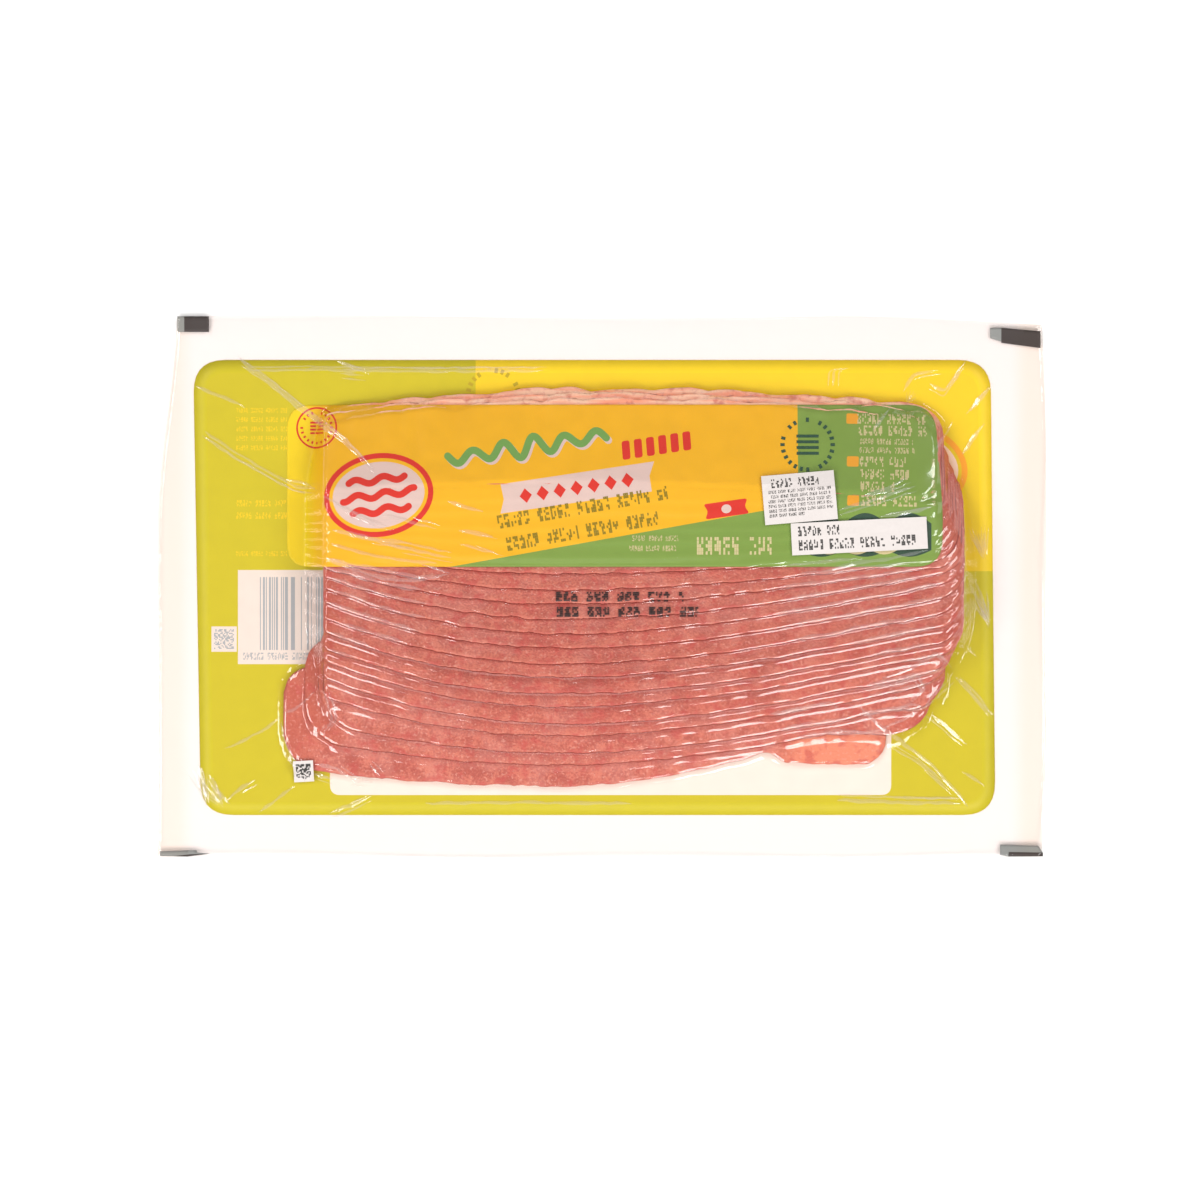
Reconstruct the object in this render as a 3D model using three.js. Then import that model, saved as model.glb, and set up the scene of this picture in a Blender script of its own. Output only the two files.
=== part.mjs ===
// A vacuum pack of sliced bacon, lying on its back film with its front up.
//
// Twenty-one long slices overlap like roof tiles on a flat back film. Each one starts a little
// further up the pack than the one under it, so a step shows at every lower edge. A clear front
// film is drawn down tight over them and is welded to the back film in a wide margin all round.
// The sealed pack is one solid in its outer form, since it is closed. Its margin curls up a little
// towards the corners. Three small paper stickers lie on the front.
//
// Millimetres. X runs along the slices, Y runs up the front of the pack and Z out of it.

import * as THREE from "three";

// Outline of the welded film, as the pack lies. The left side leans in towards the top.
const OUTLINE = { left: -151.1, right: 151.1, bottom: -92, top: 91.9 };
const LEFT_LEAN = 7; // how far the top left corner stands in
const RIGHT_BULGE = 2; // how far the right corners stand in
const TOP_DROP = 3.2; // how far the top right corner stands down
const FILM = 0.5; // both films of the margin together
const MARGIN_CURL = 2.4; // most that the margin lifts off the table
const FLAT = { x: 137, y: 77, ramp: 22 }; // half sizes of the part that lies flat, and the way to full curl

// One slice, and how the stack of them is laid.
const SLICES = 21;
const SLICE = { thick: 2, width: 36 };
const STACK = 16; // height of the stack where the slices lean on each other
const FIRST_EDGE = -67.7; // lower edge of the bottom slice at its middle
const FIRST_BAND = 7.5; // how much of the bottom slice shows there
const BAND = 5; // mean width of the other bands
const BAND_SWING = 1.05; // they are wide and narrow by turns
const BAND_TURN = 3; // radians from one band to the next
const LOWEST_X = -14; // where the slices hang lowest
const LEFT_BOW = 0.0024; // rise of the left half, per square millimetre
const RIGHT_RISE = 0.105; // slope of the right half
const RIGHT_BEND = 15; // length over which that slope begins
const FAN = { from: 11.5, over: 10 }; // slices that straighten by turns, and then bow the other way
const TOP_EDGE = { y: 67.7, left: 0.0008, right: 0.0005 }; // upper edge of the stack, which falls to both ends
const TAILS = { from: 19, back: 1.9, rise: 1.75 }; // the last slices end there, each a step back and higher

// Ends of the slices.
const LEFT_END = -94.3;
const LOOSE_ENDS = [-108, -103.5, -99]; // the three bottom slices reach further left
const RIGHT_END = 122.7;
const BOTTOM_RIGHT_END = 98;
const RIGHT_STEP = { low: 9, high: 12, curve: 0.606, back: 0.95 };
const END_RADIUS = { right: 9, left: 1.5, loose: 12 };
const DROOP = { length: 14, curve: 0.012 }; // the right ends hang a little

// The film over them.
const WALL = 2.5; // millimetres down for each one out, at the sides of the stack
const LABEL = { left: -107, right: 115.3, bottom: 6.8, top: 61.9, fade: 3, fill: 0.75 }; // stiff printed film

// Grid of the wrapped stack, and loops of points in the margin round it.
const EDGE_ROWS = [-0.4, 0.05, 0.8]; // places of the rows beside each lower edge
const UPPER_ROWS = 5;
const TAIL_ROWS = [-3.8, -3.1, -1.9, -1.2, 0, 1.3]; // places of the rows beside the upper edge
const LEFT_COLUMNS = 8;
const MIDDLE_COLUMNS = 22;
const RIGHT_COLUMNS = 8;
const FOOT = { left: 3.5, right: 7, along: 1.3 }; // how far out of the slices the wrap's border lies
const MARGIN_LOOPS = [0.3, 0.65, 1]; // shares of the way to the outline

// Stickers: middle, size, and turn in degrees.
const STICKERS = {
  date_sticker: { x: 66.7, y: 30.2, wide: 24.6, high: 16.6, turn: 4.9, cells: [8, 6] },
  storage_sticker: { x: 86.9, y: 17.2, wide: 45.9, high: 10.8, turn: 2.9, cells: [14, 5] },
  code_sticker: { x: -101.4, y: -62.6, wide: 6.8, high: 7.2, turn: 3, cells: [4, 4] },
};
const STICKER_THICK = 0.25;
const STICKER_GAP = 0.3;

const clamp = (value, low, high) => Math.min(high, Math.max(low, value));

function smooth(value) {
  const t = clamp(value, 0, 1);
  return t * t * (3 - 2 * t);
}

function middleEdge(k) {
  let y = FIRST_EDGE;
  for (let j = 1; j < k; j += 1) {
    y += j === 1 ? FIRST_BAND : BAND - BAND_SWING * Math.cos(BAND_TURN * j);
  }
  return y;
}

const leftEnd = (k) => LOOSE_ENDS[k - 1] ?? LEFT_END;

function rightEnd(k) {
  if (k < 2) return BOTTOM_RIGHT_END;
  const short = Math.max(0, RIGHT_STEP.low - k);
  const back = Math.max(0, k - RIGHT_STEP.high);
  return RIGHT_END - RIGHT_STEP.curve * short * short - RIGHT_STEP.back * back;
}

// The lower edge of slice k: it hangs down in the middle and rises to both ends.
function lowerEdge(k, x) {
  const along = clamp(x, LOOSE_ENDS[0], RIGHT_END);
  const left = Math.max(0, LOWEST_X - along);
  const right = Math.max(0, along - LOWEST_X);
  const fan = clamp((k - FAN.from) / FAN.over, 0, 1);
  const loose = clamp(0.3 + 0.18 * (k - 1), 0, 1);
  const leftRise = LEFT_BOW * left * left * Math.min(loose, 1 - 1.3 * fan);
  const rightRise = RIGHT_RISE * (Math.hypot(right, RIGHT_BEND) - RIGHT_BEND);
  return middleEdge(k) + leftRise + rightRise * (1 - 1.5 * fan);
}

const topEdge = (x) => TOP_EDGE.y - (x < 0 ? TOP_EDGE.left : TOP_EDGE.right) * x * x;

const crest = (k) => Math.min(SLICE.thick * k, STACK);

// Height of slice k at its upper edge.
const tailHeight = (k) => SLICE.thick + TAILS.rise * Math.max(0, k - TAILS.from);

// Width of slice k seen from above. The last ones reach for the stack's upper edge.
function seenWidth(k, x) {
  if (k < TAILS.from) return Math.sqrt(SLICE.width ** 2 - (crest(k) - SLICE.thick) ** 2);
  return topEdge(x) - TAILS.back * (k - TAILS.from) - lowerEdge(k, x);
}

// How far a point lies outside slice k, seen from above.
function outside(k, x, y) {
  const width = seenWidth(k, x);
  const middle = (leftEnd(k) + rightEnd(k)) / 2;
  const half = (rightEnd(k) - leftEnd(k)) / 2;
  const leftRadius = k > LOOSE_ENDS.length ? END_RADIUS.left : END_RADIUS.loose;
  const radius = x > middle ? END_RADIUS.right : leftRadius;
  const along = Math.max(0, Math.abs(x - middle) - half + radius);
  const across = Math.max(0, Math.abs(y - lowerEdge(k, x) - width / 2) - width / 2 + radius);
  return Math.max(0, Math.hypot(along, across) - radius);
}

const droop = (k, x) => DROOP.curve * Math.max(0, x - rightEnd(k) + DROOP.length) ** 2;

// Top of slice k at a point, falling away steeply outside it.
function sliceTop(k, x, y) {
  const width = seenWidth(k, x);
  const across = clamp(y - lowerEdge(k, x), 0, width);
  const fall = (crest(k) - tailHeight(k)) / width;
  return crest(k) - fall * across - droop(k, x) - WALL * outside(k, x, y);
}

// Height of the lower edges' crests at a point, as a stiff film would span them.
function span(x, y) {
  let k = 1;
  while (k < SLICES && lowerEdge(k + 1, x) <= y) k += 1;
  if (k === SLICES) return sliceTop(k, x, y);
  const share = clamp((y - lowerEdge(k, x)) / (lowerEdge(k + 1, x) - lowerEdge(k, x)), 0, 1);
  return crest(k) + (crest(k + 1) - crest(k)) * share - droop(k, x);
}

// 1 on the label, and 0 off it and past the ends of the stack.
function labelShare(x, y) {
  const sideways = Math.min(x - LEFT_END, RIGHT_END - (RIGHT_END - LABEL.right) - x);
  const upright = Math.min(y - LABEL.bottom, LABEL.top - y);
  return smooth(Math.min(sideways, upright) / LABEL.fade);
}

// Height of the front film above the back film.
function wrapHeight(x, y) {
  let height = 0;
  for (let k = 1; k <= SLICES; k += 1) height = Math.max(height, sliceTop(k, x, y));
  const lift = Math.max(0, span(x, y) - height);
  return Math.max(0, height + lift * LABEL.fill * labelShare(x, y));
}

// A grid of points as a sheet of triangles that faces up.
function gridFaces(rows) {
  const wide = rows[0].length;
  const faces = [];
  for (let r = 0; r + 1 < rows.length; r += 1) {
    for (let c = 0; c + 1 < wide; c += 1) {
      const a = r * wide + c;
      faces.push([a, a + 1, a + wide + 1], [a, a + wide + 1, a + wide]);
    }
  }
  return faces;
}

// Indices of a grid's border, anticlockwise from above.
function rimOf(rows) {
  const high = rows.length;
  const wide = rows[0].length;
  const rim = [];
  for (let c = 0; c < wide - 1; c += 1) rim.push(c);
  for (let r = 0; r < high - 1; r += 1) rim.push(r * wide + wide - 1);
  for (let c = wide - 1; c > 0; c -= 1) rim.push((high - 1) * wide + c);
  for (let r = high - 1; r > 0; r -= 1) rim.push(r * wide);
  return rim;
}

// Joins one loop of points to the next one, outside it or below it.
function joinLoops(faces, from, to) {
  from.forEach((a, i) => {
    const next = (i + 1) % from.length;
    faces.push([a, to[i], to[next]], [a, to[next], from[next]]);
  });
}

function meshGeometry(points, faces) {
  const geometry = new THREE.BufferGeometry();
  geometry.setAttribute("position", new THREE.Float32BufferAttribute(points.flat(), 3));
  geometry.setIndex(faces.flat());
  geometry.computeVertexNormals();
  return geometry;
}

function steps(from, to, count) {
  return Array.from({ length: count }, (_, i) => from + ((to - from) * i) / count);
}

// Rows of points over the slices: one below, one at and one above every lower edge.
function wrapRows() {
  const lines = [(x) => lowerEdge(1, x) - FOOT.along];
  for (let k = 1; k <= SLICES; k += 1) {
    for (const step of EDGE_ROWS) lines.push((x) => lowerEdge(k, x) + step);
  }
  const last = (x) => topEdge(x) + TAIL_ROWS[0];
  for (const share of steps(1 / UPPER_ROWS, 1, UPPER_ROWS - 1)) {
    lines.push((x) => THREE.MathUtils.lerp(lowerEdge(SLICES, x), last(x), share));
  }
  for (const step of TAIL_ROWS) lines.push((x) => topEdge(x) + step);

  return lines.map((line, r) => {
    const k = clamp(r / EDGE_ROWS.length, 1, SLICES);
    const end = RIGHT_END - (RIGHT_END - rightEnd(Math.round(k))) * 0.8;
    const columns = [
      ...steps(LOOSE_ENDS[0] - FOOT.left, LEFT_END + 2, LEFT_COLUMNS),
      ...steps(LEFT_END + 2, end - DROOP.length, MIDDLE_COLUMNS),
      ...steps(end - DROOP.length, end + FOOT.right, RIGHT_COLUMNS),
      end + FOOT.right,
    ];
    const outer = r === 0 || r === lines.length - 1;
    return columns.map((x, c) => {
      const flat = outer || c === 0 || c === columns.length - 1;
      return [x, line(x), FILM + (flat ? 0 : wrapHeight(x, line(x)))];
    });
  });
}

// How far the margin curls off the table: most at the corners, in a slow wave along the sides.
function curl(x, y) {
  const past = Math.hypot(Math.max(0, Math.abs(x) - FLAT.x), Math.max(0, Math.abs(y) - FLAT.y));
  const wave = 0.55 + 0.45 * Math.sin(x / 21 + 0.8) * Math.cos(y / 17);
  return MARGIN_CURL * smooth(past / FLAT.ramp) * wave;
}

// The outline of the film at a share of its length and height, bottom left to top right.
function outlinePoint(u, v) {
  const leftSide = OUTLINE.left + LEFT_LEAN * smooth((v - 0.6) / 0.45);
  const rightSide = OUTLINE.right - RIGHT_BULGE * (2 * v - 1) ** 4;
  const topSide = OUTLINE.top - TOP_DROP * smooth((u - 0.75) / 0.3) + 0.5 * Math.sin(9 * u);
  const bottomSide = OUTLINE.bottom + 0.4 * Math.sin(7 * u + 1);
  return [THREE.MathUtils.lerp(leftSide, rightSide, u), THREE.MathUtils.lerp(bottomSide, topSide, v)];
}

// The place on the outline that a point of the wrap's border is joined to.
function outlineFor(rows, index) {
  const wide = rows[0].length;
  const row = rows[Math.floor(index / wide)];
  const column = rows.map((line) => line[index % wide]);
  const [x, y] = row[index % wide];
  const u = (x - row[0][0]) / (row.at(-1)[0] - row[0][0]);
  const v = (y - column[0][1]) / (column.at(-1)[1] - column[0][1]);
  return outlinePoint(u, v);
}

// The whole pack: the wrap, the margin round it, and an underside that is flat but for the curl.
function sealedPack() {
  const rows = wrapRows();
  const points = rows.flat();
  const faces = gridFaces(rows);
  const rim = rimOf(rows);

  const loopAt = (share, lift) =>
    rim.map((index) => {
      const [outX, outY] = outlineFor(rows, index);
      const x = THREE.MathUtils.lerp(points[index][0], outX, share);
      const y = THREE.MathUtils.lerp(points[index][1], outY, share);
      return points.push([x, y, curl(x, y) + lift]) - 1;
    });
  const loops = [
    rim,
    ...MARGIN_LOOPS.map((share) => loopAt(share, FILM)),
    ...MARGIN_LOOPS.toReversed().map((share) => loopAt(share, 0)),
  ];
  for (let i = 0; i + 1 < loops.length; i += 1) joinLoops(faces, loops[i], loops[i + 1]);

  const inner = loops.at(-1);
  const middle = points.push([0, 0, 0]) - 1;
  inner.forEach((a, i) => faces.push([a, middle, inner[(i + 1) % inner.length]]));
  return meshGeometry(points, faces);
}

// A thin paper rectangle that follows the film under it.
function sticker({ x, y, wide, high, turn, cells }) {
  const angle = THREE.MathUtils.degToRad(turn);
  const rows = [];
  for (let r = 0; r <= cells[1]; r += 1) {
    rows.push([]);
    for (let c = 0; c <= cells[0]; c += 1) {
      const along = wide * (c / cells[0] - 0.5);
      const across = high * (r / cells[1] - 0.5);
      const px = x + along * Math.cos(angle) - across * Math.sin(angle);
      const py = y + along * Math.sin(angle) + across * Math.cos(angle);
      rows[r].push([px, py, FILM + stickerHeight(px, py) + STICKER_GAP + STICKER_THICK]);
    }
  }
  const points = rows.flat();
  const faces = gridFaces(rows);
  const count = points.length;
  for (const [px, py, pz] of points.slice()) points.push([px, py, pz - STICKER_THICK]);
  for (const [a, b, c] of faces.slice()) faces.push([c + count, b + count, a + count]);
  const rim = rimOf(rows);
  joinLoops(faces, rim, rim.map((index) => index + count));
  return meshGeometry(points, faces);
}

// A stiff sticker spans the steps under it, so it takes the highest film near each point.
function stickerHeight(x, y) {
  const reach = 1.6;
  let height = 0;
  for (const dx of [-reach, 0, reach]) {
    for (const dy of [-reach, 0, reach]) height = Math.max(height, wrapHeight(x + dx, y + dy));
  }
  return height;
}

function material(color, roughness) {
  return new THREE.MeshStandardMaterial({ color, roughness, metalness: 0 });
}

const pack = new THREE.Group();

function addPiece(name, geometry, look) {
  const mesh = new THREE.Mesh(geometry, look);
  mesh.name = name;
  pack.add(mesh);
}

addPiece("sealed_pack", sealedPack(), material("#d0675f", 0.35));
for (const [name, sizes] of Object.entries(STICKERS)) {
  addPiece(name, sticker(sizes), material("#f6f2ec", 0.7));
}

export default pack;
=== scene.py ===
import math

import bpy
import numpy as np
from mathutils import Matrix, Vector
from mathutils.bvhtree import BVHTree
from mathutils.geometry import delaunay_2d_cdt


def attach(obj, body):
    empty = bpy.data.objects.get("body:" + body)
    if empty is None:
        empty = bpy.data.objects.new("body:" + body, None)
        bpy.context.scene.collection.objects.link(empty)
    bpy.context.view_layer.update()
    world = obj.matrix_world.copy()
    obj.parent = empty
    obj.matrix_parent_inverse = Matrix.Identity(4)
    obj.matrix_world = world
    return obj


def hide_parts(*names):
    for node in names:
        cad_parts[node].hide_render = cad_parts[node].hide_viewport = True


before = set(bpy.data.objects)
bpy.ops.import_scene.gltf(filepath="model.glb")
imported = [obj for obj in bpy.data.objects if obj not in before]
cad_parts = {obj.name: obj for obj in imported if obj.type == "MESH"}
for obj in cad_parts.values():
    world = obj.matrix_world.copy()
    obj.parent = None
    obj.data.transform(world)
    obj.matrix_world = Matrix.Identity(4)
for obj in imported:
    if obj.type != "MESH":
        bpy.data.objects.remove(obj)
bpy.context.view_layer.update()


# Table, studio light and camera.
# A white table, six softboxes round it at the height of a studio stand, and a lens far above
# the pack that looks straight down on it.
MM = 0.001


def linear(colour):
    """An sRGB hex colour as linear red, green, blue and alpha."""
    parts = [int(colour[i : i + 2], 16) / 255 for i in (1, 3, 5)]
    return [p / 12.92 if p <= 0.04045 else ((p + 0.055) / 1.055) ** 2.4 for p in parts] + [1.0]


def add_node(tree, kind, inputs=None, **settings):
    """Adds one node, gives it its settings, and links or fills its inputs."""
    node = tree.nodes.new(kind)
    for name, value in settings.items():
        setattr(node, name, value)
    for key, value in (inputs or {}).items():
        if isinstance(value, bpy.types.NodeSocket):
            tree.links.new(value, node.inputs[key])
        else:
            node.inputs[key].default_value = value
    return node


def maths(tree, operation, first, second=0.5, third=0.5):
    inputs = {0: first, 1: second, 2: third}
    return add_node(tree, "ShaderNodeMath", inputs, operation=operation).outputs[0]


def object_place(tree):
    return add_node(tree, "ShaderNodeTexCoord").outputs["Object"]


def bumped(tree, height, strength, distance):
    """A surface normal that is tilted by small unevenness."""
    inputs = {"Height": height, "Strength": strength, "Distance": distance}
    return add_node(tree, "ShaderNodeBump", inputs).outputs["Normal"]


def both_shaders(tree, share, first, second):
    inputs = {0: share, 1: first.outputs["BSDF"], 2: second.outputs["BSDF"]}
    return add_node(tree, "ShaderNodeMixShader", inputs).outputs["Shader"]


def new_material(name):
    """An empty node material and its tree."""
    material = bpy.data.materials.new(name)
    material.use_nodes = True
    material.node_tree.nodes.clear()
    return material, material.node_tree


def finish_material(tree, shader):
    add_node(tree, "ShaderNodeOutputMaterial", {"Surface": shader})


def new_piece(name, points, faces, material, smooth=True):
    """A mesh object from points in millimetres."""
    mesh = bpy.data.meshes.new(name)
    mesh.from_pydata((np.asarray(points, float) * MM).tolist(), [], faces)
    mesh.materials.append(material)
    mesh.polygons.foreach_set("use_smooth", [smooth] * len(mesh.polygons))
    mesh.update()
    piece = bpy.data.objects.new(name, mesh)
    bpy.context.scene.collection.objects.link(piece)
    return piece


def belongs(piece):
    """A part of the sealed pack: it rides on the body and stands for the pack's solid."""
    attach(piece, "root")
    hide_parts("sealed_pack")


table_white, tree = new_material("white_painted_table")
table_grain = add_node(tree, "ShaderNodeTexNoise", {"Scale": 9.0})
table_shade = add_node(tree, "ShaderNodeValToRGB", {"Fac": table_grain.outputs["Fac"]})
table_shade.color_ramp.elements[0].color = linear("#F9F8F7")
table_shade.color_ramp.elements[1].color = linear("#FCFBFA")
table_paint = add_node(tree, "ShaderNodeBsdfDiffuse", {"Color": table_shade.outputs["Color"]})
finish_material(tree, table_paint.outputs["BSDF"])
TABLE_HALF = 2500
table_corners = [(-TABLE_HALF, -TABLE_HALF), (TABLE_HALF, -TABLE_HALF)]
table_corners += [(TABLE_HALF, TABLE_HALF), (-TABLE_HALF, TABLE_HALF)]
table = new_piece("table", [(x, y, -0.05) for x, y in table_corners], [(0, 1, 2, 3)], table_white)

# Each softbox: its direction round the table in degrees, its width and height, and its power.
SOFTBOXES = [
    ("front_left_softbox", 235, 640, 800, 15.0),
    ("front_right_softbox", 294, 640, 800, 15.0),
    ("left_softbox", 192, 520, 620, 9.0),
    ("right_softbox", 348, 520, 620, 9.0),
    ("back_left_softbox", 138, 520, 620, 8.5),
    ("back_right_softbox", 42, 520, 620, 8.5),
]
STAND_AWAY = 1350
STAND_HEIGHT = 1250
for name, direction, wide, high, power in SOFTBOXES:
    lamp = bpy.data.lights.new(name, "AREA")
    lamp.shape = "RECTANGLE"
    lamp.size = wide * MM
    lamp.size_y = high * MM
    lamp.energy = power
    softbox = bpy.data.objects.new(name, lamp)
    around = math.radians(direction)
    place = (STAND_AWAY * math.cos(around), STAND_AWAY * math.sin(around), STAND_HEIGHT)
    softbox.location = Vector(place) * MM
    softbox.rotation_euler = (-softbox.location).to_track_quat("-Z", "Y").to_euler()
    bpy.context.scene.collection.objects.link(softbox)

world = bpy.data.worlds.new("studio_walls")
world.use_nodes = True
world.node_tree.nodes["Background"].inputs["Color"].default_value = linear("#FFFDFB")
world.node_tree.nodes["Background"].inputs["Strength"].default_value = 0.22
bpy.context.scene.world = world
bpy.context.scene.view_settings.view_transform = "Standard"
# Light crosses many clear faces on its way through folds, film and ink, down and up again.
bpy.context.scene.cycles.transparent_max_bounces = 40

CAMERA_HEIGHT = 2600
VIEW_WIDE = 408
VIEW_MIDDLE = (-0.7, -4.4)
lens = bpy.data.cameras.new("lens")
lens.lens = lens.sensor_width * CAMERA_HEIGHT / VIEW_WIDE
camera = bpy.data.objects.new("camera", lens)
camera.location = Vector((*VIEW_MIDDLE, CAMERA_HEIGHT)) * MM
bpy.context.scene.collection.objects.link(camera)
bpy.context.scene.camera = camera


# Bacon slices.
# Twenty-one slices of pink formed meat, cut 2 mm thick and laid like roof tiles, each one a
# little further up the pack. Their cut lower edges are ragged, lighter and more orange.
SLICES = 21
THICK = 2.0
WIDTH = 36.0
STACK = 16.0
LEFT_END = -94.3
LOOSE_ENDS = [-108.3, -101.0, -96.2]
RIGHT_END = 122.7
# The lowest slice comes out bare at its right end.
BARE_FROM = 56
BARE_END = 97.0
# The last slices reach for the stack's upper edge, each one higher and a little shorter.
TAIL_FROM = 19
TAIL_RISE = 1.75
TAIL_BACK = 1.9
LIP = 0.6
BED = 0.2
DROOP = 0.02


def smooth(t):
    t = np.clip(t, 0.0, 1.0)
    return t * t * (3.0 - 2.0 * t)


def unevenness(x, y, grain, seed):
    """A smooth random height from -1 to 1, with lumps about as wide as grain."""
    size = 101
    table_of_heights = np.random.default_rng(seed).uniform(-1, 1, (size, size))
    across, up = np.asarray(x, float) / grain, np.asarray(y, float) / grain
    column, row = np.floor(across).astype(int), np.floor(up).astype(int)
    share_x, share_y = smooth(across - column), smooth(up - row)
    column, row = column % size, row % size
    beside, above = (column + 1) % size, (row + 1) % size
    low = table_of_heights[column, row] * (1 - share_x) + table_of_heights[beside, row] * share_x
    high = table_of_heights[column, above] * (1 - share_x) + table_of_heights[beside, above] * share_x
    return low * (1 - share_y) + high * share_y


def middle_edge(k):
    """Where the lower edge of slice k crosses the middle of the pack."""
    y = -67.7
    for j in range(1, k):
        y += 7.5 if j == 1 else 5.0 - 1.05 * math.cos(3.0 * j)
    return y


def lower_edge(k, x):
    """The ragged lower edge of slice k: it hangs in the middle and rises to both ends. The loose
    slices and the fanned upper ones rise less, and the lowest slice's bare end dips."""
    along = np.clip(x, LOOSE_ENDS[0], RIGHT_END)
    left = np.maximum(0, -14 - along)
    right = np.clip(along + 14, 0, 48 + 21 * k)
    fan = min(max((k - 11.5) / 10, 0), 1)
    loose = min(0.3 + 0.18 * (k - 1), 1)
    rise = 0.0024 * left**2 * min(loose, 1 - 1.3 * fan)
    bend = 0.48 if k == 1 else 0.28 - 0.003 * k
    rise = rise + bend * (np.hypot(right, 90) - 90) * (1 - 1.5 * fan)
    if k == 1:
        rise = rise - 3.5 * smooth((along - BARE_FROM) / 8)
    return middle_edge(k) + rise + 0.34 * unevenness(x, 31.0 * k, 6.0, 11)


def fine_edge(k, x):
    """The finer raggedness of a cut edge, too small for the film to follow."""
    coarse = 0.2 * unevenness(x, 19.0 * k, 3.1, 12) + 0.14 * unevenness(x, 17.0 * k, 1.5, 18)
    return coarse + 0.13 * unevenness(x, 13.0 * k, 0.8, 17)


def top_edge(x):
    """The upper edge of the whole stack."""
    return 67.7 - np.where(x < 0, 0.0008, 0.0005) * x**2


def crest(k):
    return min(THICK * k, STACK)


def left_end(k):
    return LOOSE_ENDS[k - 1] if k <= len(LOOSE_ENDS) else LEFT_END


def right_end(k):
    if k < 2:
        return BARE_END
    return RIGHT_END - 0.65 * max(0, 6 - k) ** 2 - 0.95 * max(0, k - 12)


def left_radius(k):
    return 12.0 if k <= len(LOOSE_ENDS) else 1.5


def right_radius(k):
    return 14.0 if 2 <= k <= 5 else 9.0


def tail_height(k):
    return THICK + TAIL_RISE * max(0, k - TAIL_FROM)


def seen_width(k, x):
    """Width of slice k from above. The last ones reach for the stack's upper edge."""
    if k < TAIL_FROM:
        return np.full_like(x, math.sqrt(WIDTH**2 - (crest(k) - THICK) ** 2))
    wave = 0.8 * unevenness(x, 53.0 * k, 17.0, 13) + 0.25 * unevenness(x, 29.0 * k, 3.0, 14)
    bend = 1.3 * unevenness(x, 11.0 * k, 24.0, 19)
    lump = 19.0 + 2.0 * (k - TAIL_FROM)
    gathered = 0.9 * np.abs(np.sin(math.pi * (x + 23.0 * k) / lump + bend)) - 0.7
    return top_edge(x) - TAIL_BACK * (k - TAIL_FROM) + wave + gathered - lower_edge(k, x)


def slice_plane(k, x, y):
    """Top of slice k, carried on past its edges."""
    width = seen_width(k, x)
    across = np.clip(y - lower_edge(k, x), 0, width)
    droop = DROOP * np.maximum(0, x - right_end(k) + 8) ** 2
    lumps = 0.13 * unevenness(x, y + 40.0 * k, 4.5, 15)
    return crest(k) - (crest(k) - tail_height(k)) / width * across - droop + lumps


def outside_slice(k, x, y):
    """Distance from the outline of slice k seen from above, negative inside it."""
    half_width = seen_width(k, x) / 2
    half_length = (right_end(k) - left_end(k)) / 2
    middle = (right_end(k) + left_end(k)) / 2
    radius = np.where(x > middle, right_radius(k), left_radius(k))
    along = np.abs(x - middle) - half_length + radius
    across = np.abs(y - lower_edge(k, x) - half_width) - half_width + radius
    corner = np.hypot(np.maximum(along, 0), np.maximum(across, 0))
    return corner + np.minimum(np.maximum(along, across), 0) - radius


def bed_under(k, x, y):
    """Highest slice under slice k at each point, or the back film."""
    height = np.full_like(x, BED)
    for j in range(1, k):
        inside = outside_slice(j, x, y) < -0.05
        height = np.maximum(height, np.where(inside, slice_plane(j, x, y), BED))
    return height


def border_of(rows, columns):
    """Indices of a grid's border, anticlockwise from above."""
    border = list(range(columns - 1))
    border += [r * columns + columns - 1 for r in range(rows - 1)]
    border += [(rows - 1) * columns + c for c in range(columns - 1, 0, -1)]
    border += [r * columns for r in range(rows - 1, 0, -1)]
    return border


def grid_faces(rows, columns):
    starts = [r * columns + c for r in range(rows - 1) for c in range(columns - 1)]
    return [(a, a + 1, a + columns + 1, a + columns) for a in starts]


def closed_plate(upper, lower, rows, columns):
    """Points and faces of a plate from the grids of its upper and its lower side."""
    count = rows * columns
    faces = grid_faces(rows, columns)
    faces += [tuple(index + count for index in reversed(face)) for face in faces]
    border = border_of(rows, columns)
    for a, b in zip(border, border[1:] + border[:1]):
        faces.append((a, a + count, b + count, b))
    return np.concatenate([upper, lower]), faces


def mixed(tree, share, first, second):
    """The colour between two, at a share."""
    return add_node(tree, "ShaderNodeMix", {0: share, 6: first, 7: second}, data_type="RGBA").outputs[2]


def faded(tree, value, start, end, strength=1.0):
    """A share that is full up to start and falls to nothing at end."""
    inputs = {"Value": value, "From Min": start, "From Max": end, "To Min": strength, "To Max": 0.0}
    kind = "SMOOTHSTEP"
    return add_node(tree, "ShaderNodeMapRange", inputs, interpolation_type=kind).outputs["Result"]


def grown(tree, value, start, end, strength=1.0):
    """A share that is nothing up to start and full from end."""
    inputs = {"Value": value, "From Min": start, "From Max": end, "To Max": strength}
    return add_node(tree, "ShaderNodeMapRange", inputs).outputs["Result"]


def noise_at(tree, place, scale, detail=3.0):
    inputs = {"Vector": place, "Scale": scale, "Detail": detail}
    return add_node(tree, "ShaderNodeTexNoise", inputs).outputs["Fac"]


def moved_place(tree, operation, place, values):
    """A place that is shifted, or stretched so that a pattern there is drawn out."""
    inputs = {0: place, 1: values}
    return add_node(tree, "ShaderNodeVectorMath", inputs, operation=operation).outputs[0]


def attribute_of(tree, name):
    return add_node(tree, "ShaderNodeAttribute", attribute_name=name).outputs["Fac"]


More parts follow.
